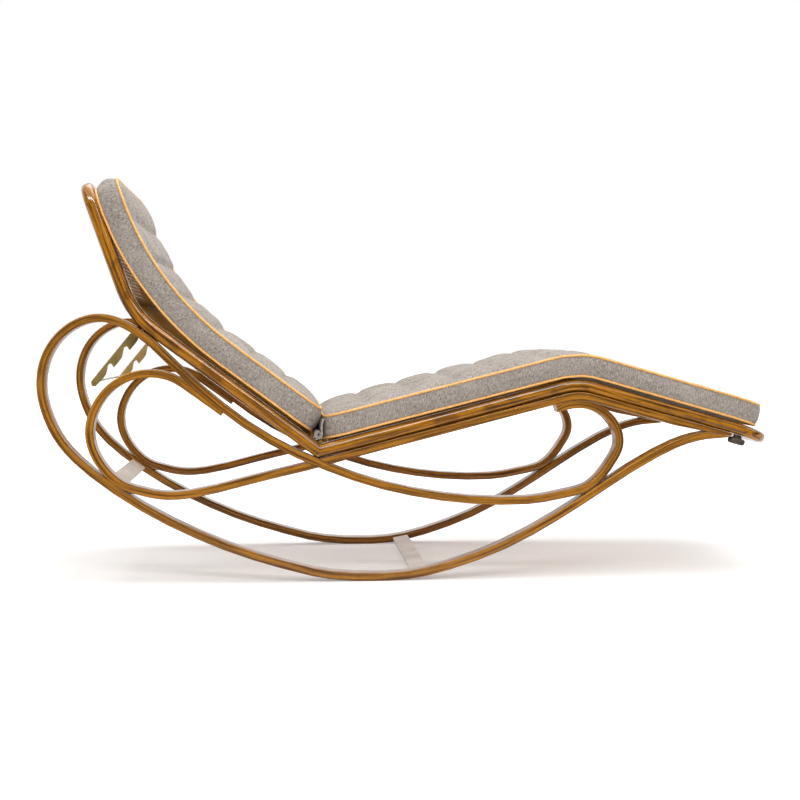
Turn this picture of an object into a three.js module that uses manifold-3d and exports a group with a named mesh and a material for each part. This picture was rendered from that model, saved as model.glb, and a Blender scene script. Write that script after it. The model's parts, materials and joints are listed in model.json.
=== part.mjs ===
// A rocking chaise lounge in bent, laminated wood, in millimetres.
// +X points to the foot end, +Y to the far side, +Z up. The floor is Z = 0.
import * as THREE from 'three';
import { mergeVertices } from 'three/addons/utils/BufferGeometryUtils.js';
import Module from 'manifold-3d';

const wasm = await Module();
wasm.setup();

// Overall size
const sideLength = 1750;
const footOverhang = 17;
const headOverhang = 9;
const chaiseWidth = 600;
const frameHeight = 936;

// Laminated strips of the rockers
const stripThickness = 19;
const stripWidth = 42;
const stripEase = 2;
const contactGap = 0.4;
const cutGap = 0.3;
const runningGap = 0.2;
const overrun = 30;
const restFlatDepth = 0.4;
const scrollTipThickness = 8;
const scrollTaperLength = 130;
const lapReach = 85;

// Bentwood rails of the seat and the back
const railThickness = 32;
const footRailThickness = 28;
const railWidth = 42;
const cornerRadius = 36;
const seatKneeRadius = 170;
const footNoseRadius = 110;
const backBendRadius = 205;

// Cross rails, and the cane that lies on them just below the top of the frames
const crossThickness = 24;
const crossWidth = 36;
const crossInset = 36;
const midRailShift = 8;
const caneThickness = 3;
const caneDrop = 2.5;
const caneLap = 12;
const blankLap = 5;

// Hinges between seat and back
const knuckleRadius = 4;
const leafThickness = 2;
const leafWidth = 26;
const leafDepth = 24;
const pinRadius = 2;
const pinHeadRadius = 3.2;
const pinHeadHeight = 1.2;

// Slats between the rockers
const slatWidth = 42;
const slatThickness = 8;
const tenonLength = 18;

// Notched racks and their catch rod
const rackThickness = 3;
const rackLength = 195;
const rackPitch = 55;
const rackNotchDepth = 14;
const rackBackEdge = 15;
const rackFrontEdge = 12.2;
const rackTaper = 10.36;
const rackEyeRadius = 11;
const rackEase = 3;
const rackSideGap = 1;
const rackPivotReach = 13.85;
const rodRadius = 4.7;
const rodSeatDepth = 20;
const rodAhead = 1.1;
const rodPastTip = 7;
const tieRadius = 3;
const tieInset = 19;
const tieBack = 2;
const tieSeatDepth = 1.5;
const screwRadius = 3;
const screwHeadRadius = 6;
const screwHeadHeight = 2.5;
const screwDepth = 22;

// Joint bolts of the rockers
const boltRadius = 3;
const boltHeadRadius = 6;
const boltHeadHeight = 3.5;
const boltRecess = 1;
const boltDepth = 14;
const boltWall = 5;

// Bumper under the foot end
const bumperLength = 43;
const bumperWidth = 34;
const bumperHeight = 15;
const bumperNeck = 8;
const bumperNeckWidth = 20;

// Cushions, measured from the top of the frames
const cushionInset = 4;
const cushionCorner = 55;
const cushionBulge = 3;
const cushionEase = 6;
const cushionCrown = 31;
const crownReach = 140;
const seatCushionSide = 50;
const seatCushionLift = 9.5;
const seatCushionEnd = 2;
const seatEndLean = 32;
const seatFootInset = 28;
const backCushionSide = 55;
const backCushionLift = 12;
const backHeadLift = 0.5;
const backCushionBendRadius = 760;
const backCushionEnd = 30;
const backEndLean = 11;
const backHeadInset = 14;
const tuftSpacing = 108;
const tuftDepth = 10;
const flapRadius = 10;
const flapDistance = -1;
const flapHeight = 25.5;
const flapEdge = 1.5;
const flapTipDrop = 8;
const flapInset = 12;

// Colours by material
const woodSide = new THREE.MeshStandardMaterial({ color: 0xa66a2a, roughness: 0.35, metalness: 0 });
const woodRail = new THREE.MeshStandardMaterial({ color: 0xb37324, roughness: 0.22, metalness: 0 });
const caneStraw = new THREE.MeshStandardMaterial({ color: 0x9a6a33, roughness: 0.7, metalness: 0 });
const brass = new THREE.MeshStandardMaterial({ color: 0xb09448, roughness: 0.35, metalness: 1 });
const slatMetal = new THREE.MeshStandardMaterial({ color: 0xd8d2cc, roughness: 0.35, metalness: 0.2 });
const steel = new THREE.MeshStandardMaterial({ color: 0xc9c6bd, roughness: 0.3, metalness: 1 });
const tweed = new THREE.MeshStandardMaterial({ color: 0x968c86, roughness: 0.95, metalness: 0 });
const darkRubber = new THREE.MeshStandardMaterial({ color: 0x2a1d16, roughness: 0.5, metalness: 0 });

// Side view helpers. A station is a point of a side line with its direction and its upward normal.
const vec = (x, z) => new THREE.Vector2(x, z);
const at = (xShare, zShare) => vec((xShare - 0.5) * sideLength, zShare * frameHeight);
const station = (point, along) => {
  const unit = along.clone().normalize();
  return { point, along: unit, up: vec(-unit.y, unit.x) };
};
const turned = (s) => ({ ...s, along: s.along.clone().negate(), up: s.up.clone().negate() });
const flip = (stations) => stations.map(turned).reverse();
const lineUp = (stations) => stations.map((s) => (s.along.x < 0 ? turned(s) : s));

// A natural cubic spline through the points, over their chord lengths
function splineThrough(points) {
  const knots = [0];
  for (let i = 1; i < points.length; i += 1) {
    knots.push(knots[i - 1] + points[i].distanceTo(points[i - 1]));
  }
  const bends = ['x', 'y'].map((axis) => naturalBends(knots, points.map((p) => p[axis])));
  const value = (t) => {
    let i = 0;
    while (i < knots.length - 2 && t > knots[i + 1]) i += 1;
    const h = knots[i + 1] - knots[i];
    const a = (knots[i + 1] - t) / h;
    const b = (t - knots[i]) / h;
    const parts = ['x', 'y'].map((axis, k) => {
      const [m0, m1] = [bends[k][i], bends[k][i + 1]];
      const [p0, p1] = [points[i][axis], points[i + 1][axis]];
      return {
        place: a * p0 + b * p1 + ((a ** 3 - a) * m0 + (b ** 3 - b) * m1) * h * h / 6,
        slope: (p1 - p0) / h + ((3 * b * b - 1) * m1 - (3 * a * a - 1) * m0) * h / 6,
      };
    });
    return station(vec(parts[0].place, parts[1].place), vec(parts[0].slope, parts[1].slope));
  };
  return { length: knots[knots.length - 1], value };
}

// Second derivatives of a natural cubic spline, by the tridiagonal sweep
function naturalBends(knots, values) {
  const n = values.length;
  const upper = new Array(n).fill(0);
  const right = new Array(n).fill(0);
  for (let i = 1; i < n - 1; i += 1) {
    const before = knots[i] - knots[i - 1];
    const after = knots[i + 1] - knots[i];
    const rate = (values[i + 1] - values[i]) / after - (values[i] - values[i - 1]) / before;
    const pivot = 2 * (before + after) - before * upper[i - 1];
    upper[i] = after / pivot;
    right[i] = (6 * rate - before * right[i - 1]) / pivot;
  }
  const bends = new Array(n).fill(0);
  for (let i = n - 2; i > 0; i -= 1) bends[i] = right[i] - upper[i] * bends[i + 1];
  return bends;
}

// Stations of a spline, closer together where it bends
function splineStations(points, turnStep = 0.085, longestStep = sideLength / 25) {
  const curve = splineThrough(points);
  const shortStep = longestStep / 40;
  const stations = [curve.value(0)];
  let last = stations[0];
  let lastPlace = 0;
  for (let t = shortStep; t < curve.length; t += shortStep) {
    const here = curve.value(t);
    const turn = Math.abs(last.along.angleTo(here.along));
    if (turn > turnStep || t - lastPlace > longestStep) {
      stations.push(here);
      last = here;
      lastPlace = t;
    }
  }
  if (curve.length - lastPlace < shortStep * 4) stations.pop();
  stations.push(curve.value(curve.length));
  return stations;
}

// A line of straights with a round bend at its middle point
function bentLine(start, bend, end, radius, steps = 6) {
  const first = bend.clone().sub(start).normalize();
  const second = end.clone().sub(bend).normalize();
  const turn = Math.acos(first.dot(second));
  const side = Math.sign(first.cross(second));
  const reach = radius * Math.tan(turn / 2);
  const entry = bend.clone().addScaledVector(first, -reach);
  const centre = entry.clone().add(vec(-first.y, first.x).multiplyScalar(side * radius));
  const stations = [station(start, first)];
  for (let i = 0; i <= steps; i += 1) {
    const angle = side * turn * i / steps;
    const spoke = entry.clone().sub(centre).rotateAround(vec(0, 0), angle);
    stations.push(station(centre.clone().add(spoke), first.clone().rotateAround(vec(0, 0), angle)));
  }
  stations.push(station(end, second));
  return stations;
}

const blendStations = (a, b, share) => station(
  a.point.clone().lerp(b.point, share),
  a.along.clone().lerp(b.along, share),
);
const raise = (s, height) => s.point.clone().addScaledVector(s.up, height);
const raisedLine = (line, height) => line.map((s) => ({ ...s, point: raise(s, height) }));

// The station of a line at the place X
function stationAtX(line, x) {
  for (let i = 1; i < line.length; i += 1) {
    const [a, b] = [line[i - 1], line[i]];
    const share = (x - a.point.x) / (b.point.x - a.point.x);
    if (share >= 0 && share <= 1) return blendStations(a, b, share);
  }
  return x < line[0].point.x === line[0].point.x < line[1].point.x ? line[0] : line[line.length - 1];
}

// The station of a line at a distance along it
function stationAt(line, distance) {
  let left = distance;
  for (let i = 1; i < line.length; i += 1) {
    const step = line[i].point.distanceTo(line[i - 1].point);
    if (left <= step || i === line.length - 1) return blendStations(line[i - 1], line[i], Math.min(left / step, 1));
    left -= step;
  }
  return line[line.length - 1];
}
const lineLength = (line) => line.slice(1).reduce((sum, s, i) => sum + s.point.distanceTo(line[i].point), 0);

// How far along a line a station lies
function placeOn(line, s) {
  const passed = line.filter((other) => (other.point.x - s.point.x) * (line[0].point.x - s.point.x) > 0);
  const last = passed[passed.length - 1] ?? line[0];
  return lineLength(passed) + last.point.distanceTo(s.point);
}

// The part of a line between two distances
function trimmed(line, from, to) {
  const kept = [stationAt(line, from)];
  let run = 0;
  for (let i = 1; i < line.length; i += 1) {
    run += line[i].point.distanceTo(line[i - 1].point);
    if (run > from + stripEase && run < to - stripEase) kept.push(line[i]);
  }
  kept.push(stationAt(line, to));
  return kept;
}

// Solid helpers
const space = (p, y = 0) => new THREE.Vector3(p.x, y, p.y);
const flatFrame = (s, y = 0) => ({ origin: space(s.point, y), up: space(s.up), side: new THREE.Vector3(0, 1, 0) });

function geometryOf(positions, triangles) {
  const geometry = new THREE.BufferGeometry();
  geometry.setAttribute('position', new THREE.Float32BufferAttribute(positions, 3));
  geometry.setIndex(triangles);
  return outward(geometry);
}

// Turns the faces outwards where the volume comes out negative
function outward(geometry) {
  const p = geometry.getAttribute('position');
  const index = geometry.getIndex().array;
  const corner = (i) => new THREE.Vector3().fromBufferAttribute(p, index[i]);
  let volume = 0;
  for (let i = 0; i < index.length; i += 3) volume += corner(i).dot(corner(i + 1).cross(corner(i + 2)));
  if (volume < 0) {
    const flipped = [];
    for (let i = 0; i < index.length; i += 3) flipped.push(index[i], index[i + 2], index[i + 1]);
    geometry.setIndex(flipped);
  }
  return geometry;
}

// A closed solid through rings of as many points each, with a flat cap at both ends
function loft(rings) {
  const size = rings[0].length;
  const positions = rings.flat().flatMap((p) => [p.x, p.y, p.z]);
  const triangles = [];
  for (let r = 1; r < rings.length; r += 1) {
    for (let i = 0; i < size; i += 1) {
      const j = (i + 1) % size;
      const [a, b, c, d] = [(r - 1) * size + i, (r - 1) * size + j, r * size + i, r * size + j];
      triangles.push(a, b, d, a, d, c);
    }
  }
  const cap = (ring, base, last) => {
    const flat = ring.map((p) => p.clone());
    const normal = ringNormal(flat);
    const across = flat[1].clone().sub(flat[0]).normalize();
    const over = normal.clone().cross(across);
    const outline = flat.map((p) => vec(p.clone().sub(flat[0]).dot(across), p.clone().sub(flat[0]).dot(over)));
    for (const [a, b, c] of THREE.ShapeUtils.triangulateShape(outline, [])) {
      triangles.push(...(last ? [base + a, base + b, base + c] : [base + a, base + c, base + b]));
    }
  };
  cap(rings[0], 0, false);
  cap(rings[rings.length - 1], (rings.length - 1) * size, true);
  return geometryOf(positions, triangles);
}

function ringNormal(ring) {
  const normal = new THREE.Vector3();
  ring.forEach((p, i) => {
    const q = ring[(i + 1) % ring.length];
    normal.add(p.clone().sub(ring[0]).cross(q.clone().sub(ring[0])));
  });
  return normal.normalize();
}

const sweep = (frames, section) => loft(frames.map((f) => section.map(([side, up]) => (
  f.origin.clone().addScaledVector(f.side, side).addScaledVector(f.up, up)))));

// Sections, as points (side, up)
function easedBox(width, height, ease) {
  const [w, h] = [width / 2, height / 2];
  return [[w, h - ease], [w - ease, h], [ease - w, h], [-w, h - ease],
    [-w, ease - h], [ease - w, -h], [w - ease, -h], [w, ease - h]];
}

function roundedOval(width, height, roundShare = 0.72, points = 12) {
  const section = [];
  for (let i = 0; i < points; i += 1) {
    const angle = (i + 0.5) / points * 2 * Math.PI;
    const [c, s] = [Math.cos(angle), Math.sin(angle)];
    section.push([
      Math.sign(c) * Math.abs(c) ** roundShare * width / 2,
      Math.sign(s) * Math.abs(s) ** roundShare * height / 2,
    ]);
  }
  return section;
}
const stripSection = (spare = 0) => easedBox(stripWidth, stripThickness + 2 * spare, stripEase);

// Booleans
function toSolid(geometry) {
  const bare = geometry.clone();
  bare.deleteAttribute('normal');
  bare.deleteAttribute('uv');
  const merged = mergeVertices(bare, 1e-4);
  return new wasm.Manifold(new wasm.Mesh({
    numProp: 3,
    vertProperties: new Float32Array(merged.getAttribute('position').array),
    triVerts: new Uint32Array(merged.getIndex().array),
  }));
}

function toGeometry(solid) {
  const mesh = solid.getMesh();
  const geometry = new THREE.BufferGeometry();
  geometry.setAttribute('position', new THREE.Float32BufferAttribute(mesh.vertProperties, 3));
  geometry.setIndex(Array.from(mesh.triVerts));
  return geometry;
}
const cut = (geometry, ...tools) => toGeometry(
  tools.reduce((solid, tool) => solid.subtract(toSolid(tool)), toSolid(geometry)),
);
const join = (geometry, ...more) => toGeometry(
  more.reduce((solid, piece) => solid.add(toSolid(piece)), toSolid(geometry)),
);
const common = (a, b) => toGeometry(toSolid(a).intersect(toSolid(b)));

// A rod between two points, by its radius
function rod(from, to, radius, sides = 16) {
  const geometry = new THREE.CylinderGeometry(radius, radius, from.distanceTo(to), sides);
  const turn = new THREE.Quaternion().setFromUnitVectors(
    new THREE.Vector3(0, 1, 0),
    to.clone().sub(from).normalize(),
  );
  geometry.applyQuaternion(turn);
  const middle = from.clone().lerp(to, 0.5);
  geometry.translate(middle.x, middle.y, middle.z);
  return geometry;
}

// A box laid along a station: its length along, its width across, its height up
function box(s, y, length, width, height) {
  const geometry = new THREE.BoxGeometry(length, width, height);
  const basis = new THREE.Matrix4().makeBasis(space(s.along), new THREE.Vector3(0, 1, 0), space(s.up));
  geometry.applyMatrix4(basis);
  geometry.translate(s.point.x, y, s.point.y);
  return outward(geometry);
}

function mirrored(geometry) {
  return outward(geometry.clone().scale(1, -1, 1));
}

// Master lines in the side view: the middle of the back rail, then the top of the seat rail
const xAt = (share) => at(share, 0).x;
const mitre = at(0.3743, 0.3328);
const backBend = at(0.1257, 0.6784);
const headTip = at(0.0652, 1);
const seatKnee = at(0.7335, 0.5198);
const footNose = at(0.9697, 0.3941);
const footTipShare = 0.3727;
const backSlope = backBend.clone().sub(mitre).normalize();
const headSlope = headTip.clone().sub(backBend).normalize();
const headEnd = headTip.clone().addScaledVector(headSlope, headOverhang - railWidth / 2);
const footSlope = at(1, footTipShare).sub(footNose).normalize();
const footEnd = at(1, footTipShare).addScaledVector(footSlope, footOverhang - railWidth / 2);

// The two rails meet in a mitre, whose top corner carries the hinge
const roughSlope = seatKnee.clone().sub(mitre).normalize();
const roughAxis = roughSlope.clone().add(backSlope).normalize();
const topCorner = mitre.clone().addScaledVector(roughAxis, railThickness / 2 / Math.abs(roughAxis.cross(backSlope)));
const seatSlope = seatKnee.clone().sub(topCorner).normalize();
const mitreAxis = seatSlope.clone().add(backSlope).normalize();
const mitreSine = Math.abs(mitreAxis.cross(backSlope));
const endGap = (leafThickness + 1.5 * cutGap) / mitreSine;
const seatTop = [
  ...bentLine(topCorner.clone().addScaledVector(seatSlope, endGap), seatKnee, footNose, seatKneeRadius).slice(0, -1),
  ...bentLine(seatKnee, footNose, footEnd, footNoseRadius, 3).slice(1),
];
const backFace = topCorner.clone().addScaledVector(backSlope, endGap);
const backNormal = vec(backSlope.y, -backSlope.x);
const backMiddle = bentLine(
  backFace.clone().addScaledVector(backNormal, -railThickness / 2),
  backBend,
  headEnd,
  backBendRadius,
).map(turned);
const hingePoint = topCorner.clone().addScaledVector(mitreAxis, (knuckleRadius + 2 * cutGap) / mitreSine);

// The seat rail is slimmer at the foot
const seatLength = lineLength(seatTop);
const seatThickness = (s) => THREE.MathUtils.lerp(railThickness, footRailThickness, placeOn(seatTop, s) / seatLength);

// The scroll strip lies under the seat rail from the foot to the crossing, and thins out at the foot
const scrollTipX = xAt(0.954);
const scrollThickness = (s) => {
  const share = Math.min(Math.abs(scrollTipX - s.point.x) / scrollTaperLength, 1);
  return THREE.MathUtils.lerp(scrollTipThickness, stripThickness, share);
};
const underSeatOf = (s) => {
  const thickness = scrollThickness(s);
  const drop = seatThickness(s) + contactGap + thickness / 2;
  return { ...s, point: raise(s, -drop), thickness };
};
const underSeat = (x) => underSeatOf(stationAtX(seatTop, x));
const belowScroll = (xShare, drop) => {
  const s = underSeat(xAt(xShare));
  return raise(s, -s.thickness / 2 - drop);
};
const leaveX = xAt(0.408);
const taperStart = stationAtX(seatTop, scrollTipX - scrollTaperLength);
const underRail = [...seatTop.slice(1, -1), taperStart].map(underSeatOf);
const scrollEnds = [underSeat(leaveX), underSeat(scrollTipX)];
const scrollTop = flip([scrollEnds[0], ...underRail, scrollEnds[1]]
  .filter((s) => s.point.x >= scrollEnds[0].point.x && s.point.x <= scrollEnds[1].point.x)
  .sort((a, b) => a.point.x - b.point.x));

// The runner strip: foot end, rocker, rear loop under the back rail, and the way down to the crossing
const contactDrop = railThickness / 2 + contactGap + stripThickness / 2;
const restPoint = at(0.44, 0).add(vec(0, stripThickness / 2 - restFlatDepth));
const restStation = stationAtX(backMiddle, xAt(0.1486));
const backRest = raise(restStation, -contactDrop);
const rockerPoints = [
  at(0.945, 0.372), at(0.9131, 0.3674), at(0.8832, 0.3544),
  at(0.8469, 0.325), at(0.7905, 0.2642), at(0.7344, 0.1967), at(0.6784, 0.1342), at(0.6227, 0.082),
  at(0.5668, 0.0442), at(0.5118, 0.0177), restPoint,
  at(0.375, 0.0213), at(0.3208, 0.0478), at(0.267, 0.0801), at(0.2136, 0.1215), at(0.1607, 0.1705),
  at(0.1081, 0.2314), at(0.056, 0.3081), at(0.0303, 0.363), at(0.0128, 0.43), at(0.0055, 0.501),
  at(0.0121, 0.5715), at(0.0316, 0.6275), at(0.058, 0.661), at(0.084, 0.6705), at(0.1104, 0.6585),
  backRest, at(0.1888, 0.538), at(0.2415, 0.4505), at(0.2947, 0.3785), at(0.3484, 0.3235),
  at(0.374, 0.3025), at(0.4025, 0.281), at(0.4569, 0.247), at(0.5118, 0.2235), at(0.5669, 0.2083),
  at(0.6224, 0.2017), at(0.6782, 0.206),
];
const rockerStations = splineStations(rockerPoints);
const leftmost = rockerStations.reduce((best, s, i) => (s.point.x < rockerStations[best].point.x ? i : best), 0);
const rocker = flip(rockerStations.slice(0, leftmost + 1));
const rise = rockerStations.slice(leftmost);

// The right loop turns back from the rocker and ends under the scroll
const nested = stripThickness + contactGap;
const besideRocker = (xShare) => raise(stationAtX(rocker, xAt(xShare)), nested);
const loopTopDrop = contactGap + stripThickness / 2;
const loopPoints = [
  at(0.716, 0.219), besideRocker(0.752),
  at(0.7795, 0.302), at(0.79, 0.3455), at(0.788, 0.379), at(0.7775, 0.413),
  belowScroll(0.7555, loopTopDrop), belowScroll(0.738, loopTopDrop),
  belowScroll(0.72, loopTopDrop), belowScroll(0.693, loopTopDrop),
];
const runnerLine = splineStations([...rockerPoints, ...loopPoints]);

// The scroll strip goes on from the crossing, along the runner and up into its curl under the rear loop
const scrollPoints = [
  underSeat(xAt(0.43)).point, underSeat(leaveX).point,
  at(0.374, 0.3026), at(0.3214, 0.2795), at(0.2676, 0.255), at(0.2408, 0.242), at(0.2135, 0.231),
  at(0.1874, 0.2245), at(0.1609, 0.2255), at(0.1345, 0.236),
  besideRocker(0.1082), at(0.0855, 0.296), at(0.0712, 0.348), at(0.0684, 0.393), at(0.0745, 0.438),
  at(0.0885, 0.481), at(0.1096, 0.5135), at(0.136, 0.53), at(0.1623, 0.5293), at(0.1755, 0.5225),
  at(0.1887, 0.5099), at(0.2049, 0.4883), at(0.218, 0.4706), at(0.2313, 0.4529), at(0.2458, 0.4327),
];
const scrollFree = splineStations(scrollPoints).filter((s) => s.point.x < underSeat(leaveX).point.x - stripEase);
const scrollLine = [...scrollTop, ...scrollFree];

// Strips of one side, centred on their own width
const stripFrame = (s) => {
  const share = (s.thickness ?? stripThickness) / stripThickness;
  return { ...flatFrame(s), up: space(s.up).multiplyScalar(share) };
};
const stripOf = (line, section = stripSection()) => sweep(line.map(stripFrame), section);

// Where the two strips cross, each keeps one half of the width
const crossing = stationAtX(rise, xAt(0.374));
const lapLine = (line) => line.filter((s) => s.point.x > xAt(0.24) && s.point.x < xAt(0.5));
const lapSide = (sign) => {
  const width = stripWidth / 2 + cutGap / 2 + overrun;
  const half = box({ ...crossing, along: vec(1, 0), up: vec(0, 1) }, 0, lapReach * 2, width, lapReach * 2);
  return half.translate(0, sign * (width / 2 - cutGap / 2), 0);
};
const wideSection = easedBox(stripWidth + 3 * overrun, stripThickness + 2 * cutGap, stripEase);
const runnerLap = common(stripOf(lapLine(scrollLine), wideSection), lapSide(1));
const scrollLap = common(stripOf(lapLine(rise), wideSection), lapSide(-1));

// The runner ends are planed flat against the scroll, and its lowest place is flat on the floor
const floorBox = new THREE.BoxGeometry(sideLength, stripWidth + overrun, overrun).translate(0, 0, -overrun / 2);
const coverSection = easedBox(stripWidth + overrun, railThickness + stripThickness, stripEase);
const scrollCover = sweep(scrollTop.map((s) => {
  const under = raise(s, s.thickness / 2 + contactGap - (railThickness + stripThickness) / 2);
  return flatFrame({ ...s, point: under });
}), coverSection);

// The end of the curl is scarfed against the runner above it
const riseEnd = rise.filter((s) => s.point.x > xAt(0.15) && s.point.x < xAt(0.3) && s.along.y < 0);
const riseCover = sweep(riseEnd.map((s) => flatFrame({ ...s, point: raise(s, overrun / 2 - contactGap) })),
  easedBox(stripWidth + overrun, stripThickness + overrun, stripEase));
const rockerNest = rocker.filter((s) => s.point.x > xAt(0.06) && s.point.x < xAt(0.2));
const rockerCover = stripOf(rockerNest, easedBox(stripWidth + overrun, stripThickness + 2 * contactGap, stripEase));

// Joint bolts stand square to the strips: their tops end in the last layer, their heads are sunk in the first
const seatBoltOf = (xShare) => {
  const s = stationAtX(seatTop, xAt(xShare));
  const scroll = underSeat(s.point.x);
  return { s, thickness: seatThickness(s), scrollBottom: seatThickness(s) + contactGap + scroll.thickness };
};
const footBolt = seatBoltOf(0.922);
const loopBolt = seatBoltOf(0.722);
const headRoom = boltHeadHeight + boltRecess;
const halfStrip = stripThickness / 2;
const bolts = {
  foot: {
    s: footBolt.s,
    top: boltDepth - footBolt.thickness,
    seat: -footBolt.scrollBottom - contactGap - boltWall,
  },
  loop: {
    s: loopBolt.s,
    top: boltDepth - loopBolt.thickness,
    seat: headRoom - loopBolt.scrollBottom - nested,
  },
  rocker: {
    s: stationAtX(rocker, xAt(0.749)),
    top: halfStrip + contactGap + boltDepth,
    seat: headRoom - halfStrip,
  },
  curl: {
    s: stationAtX(rocker, xAt(0.117)),
    top: halfStrip + contactGap + boltDepth,
    seat: headRoom - halfStrip,
  },
  rear: {
    s: stationAtX(rise, xAt(0.2245)),
    top: boltDepth - halfStrip,
    seat: -halfStrip - contactGap - boltWall,
  },
};

// A turned piece on the upward normal of a station, from its profile of radius and height
function turnedOn(s, profile, segments = 12) {
  const geometry = new THREE.LatheGeometry(profile.map(([r, h]) => vec(r, h)), segments);
  geometry.applyQuaternion(new THREE.Quaternion().setFromUnitVectors(new THREE.Vector3(0, 1, 0), space(s.up)));
  geometry.translate(s.point.x, 0, s.point.y);
  return outward(geometry);
}
const boltOf = ({ s, top, seat }) => turnedOn(s, [
  [0, top], [boltRadius, top], [boltRadius, seat], [boltHeadRadius, seat],
  [boltHeadRadius, seat - boltHeadHeight], [0, seat - boltHeadHeight],
]);
const boltHoleOf = ({ s, top, seat }, spare = cutGap) => turnedOn(s, [
  [0, top + spare], [boltRadius + spare, top + spare], [boltRadius + spare, seat + spare],
  [boltHeadRadius + spare, seat + spare], [boltHeadRadius + spare, seat - overrun], [0, seat - overrun],
]);
const boltHoles = Object.fromEntries(Object.entries(bolts).map(([name, bolt]) => [name, boltHoleOf(bolt)]));

// The exported group, with one inner group for each moving body
const group = new THREE.Group();
const base = new THREE.Group();
const back = new THREE.Group();
const racks = new THREE.Group();
group.add(base, back, racks);
function add(parent, name, geometry, material) {
  const mesh = new THREE.Mesh(geometry, material);
  mesh.name = name;
  parent.add(mesh);
  return mesh;
}
const sides = [['near', -1], ['far', 1]];
const stripPlace = (chaiseWidth - stripWidth) / 2;
const railPlace = (chaiseWidth - railWidth) / 2;
const sided = (geometry, sign) => (sign < 0 ? geometry.clone() : mirrored(geometry));

// Slats are tenoned into the inner faces of the runners
const slatSpan = chaiseWidth - 2 * stripWidth + 2 * tenonLength;
const slatPlaces = {
  rear_stretcher: stationAtX(rocker, xAt(0.096)),
  front_stretcher: stationAtX(rocker, xAt(0.5137)),
};
const mortiseReach = tenonLength + cutGap + overrun;
const mortisePlace = stripWidth / 2 - tenonLength - cutGap + mortiseReach / 2;
const mortises = Object.values(slatPlaces).map((s) => (
  box(s, mortisePlace, slatWidth + 2 * cutGap, mortiseReach, slatThickness + 2 * cutGap)));
for (const [name, s] of Object.entries(slatPlaces)) {
  add(base, name, box(s, 0, slatWidth, slatSpan, slatThickness), slatMetal);
}

// The catch rod stands in blind holes of both runners, under the place where the back rests
const rodHalf = (chaiseWidth - 2 * stripWidth) / 2 + rodSeatDepth;
add(base, 'catch_rod', rod(space(backRest, -rodHalf), space(backRest, rodHalf), rodRadius), brass);
const rodHole = rod(
  space(backRest, stripWidth / 2 - rodSeatDepth - cutGap),
  space(backRest, stripWidth / 2 + overrun),
  rodRadius + cutGap,
);

// Rockers: the two strips of each side, and their bolts
const runnerShape = cut(
  stripOf(runnerLine), runnerLap, floorBox, scrollCover, ...mortises, rodHole, ...Object.values(boltHoles),
);
const scrollShape = cut(
  stripOf(scrollLine), scrollLap, riseCover, rockerCover,
  boltHoles.foot, boltHoles.loop, boltHoles.curl, boltHoles.rear,
);
for (const [side, sign] of sides) {
  add(base, `runner_${side}`, sided(runnerShape, sign), woodSide).position.y = sign * stripPlace;
  add(base, `scroll_${side}`, sided(scrollShape, sign), woodSide).position.y = sign * stripPlace;
  for (const [name, bolt] of Object.entries(bolts)) {
    add(base, `bolt_${name}_${side}`, boltOf(bolt), steel).position.y = sign * stripPlace;
  }
}

// Bent rails of the seat and the back: near side, round corner, end, round corner, far side
function uFrames(line, thicknessAt, topOffset) {
  const length = lineLength(line);
  const straight = trimmed(line, 0, length - cornerRadius);
  const frameOf = (s, y, side) => {
    const thickness = thicknessAt(s);
    const up = space(s.mitredUp ?? s.up);
    return {
      origin: space(s.point, y).addScaledVector(up, topOffset * thickness / 2),
      up: up.clone().multiplyScalar(thickness / railThickness),
      side,
    };
  };
  const nearward = new THREE.Vector3(0, -1, 0);
  const onward = Math.sign(line[1].point.clone().sub(line[0].point).dot(line[0].along));
  const frames = straight.map((s) => frameOf(s, -railPlace, nearward));
  const steps = 5;
  for (let i = 1; i <= steps; i += 1) {
    const angle = Math.PI / 2 * i / steps;
    const s = stationAt(line, length - cornerRadius * (1 - Math.sin(angle)));
    const y = -railPlace + cornerRadius * (1 - Math.cos(angle));
    const side = nearward.clone().multiplyScalar(Math.cos(angle));
    frames.push(frameOf(s, y, side.addScaledVector(space(s.along), onward * Math.sin(angle))));
  }
  const other = frames.map((f) => ({
    origin: f.origin.clone().multiply(new THREE.Vector3(1, -1, 1)),
    up: f.up,
    side: f.side.clone().multiply(new THREE.Vector3(1, -1, 1)),
  })).reverse();
  return [...frames, ...other];
}
const withMitre = (line) => [
  { ...line[0], mitredUp: mitreAxis.clone().divideScalar(mitreSine) }, ...line.slice(1),
];
const railSection = (spare = 0) => roundedOval(railWidth + 2 * spare, railThickness + 2 * spare);
const seatRail = (spare) => sweep(uFrames(withMitre(seatTop), seatThickness, -1), railSection(spare));
const backRail = (spare) => sweep(uFrames(withMitre(backMiddle), () => railThickness, 0), railSection(spare));

// The rack screws stand in the inner faces of the back rails
const pivot = stationAt(backMiddle, placeOn(backMiddle, restStation) + rackPivotReach).point;
const rackPlace = chaiseWidth / 2 - stripWidth - rackSideGap - rackThickness / 2;
const innerFace = chaiseWidth / 2 - railWidth;
const screwHole = (sign) => rod(
  space(pivot, sign * (innerFace - overrun)),
  space(pivot, sign * (innerFace + screwDepth + cutGap)),
  screwRadius + cutGap,
);
const atRails = (geometry) => sides.map(([, sign]) => geometry.clone().translate(0, sign * railPlace, 0));
add(base, 'seat_frame', cut(seatRail(0), ...atRails(boltHoles.foot), ...atRails(boltHoles.loop)), woodRail);
add(back, 'back_frame', cut(backRail(0), screwHole(-1), screwHole(1)), woodRail);

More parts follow.
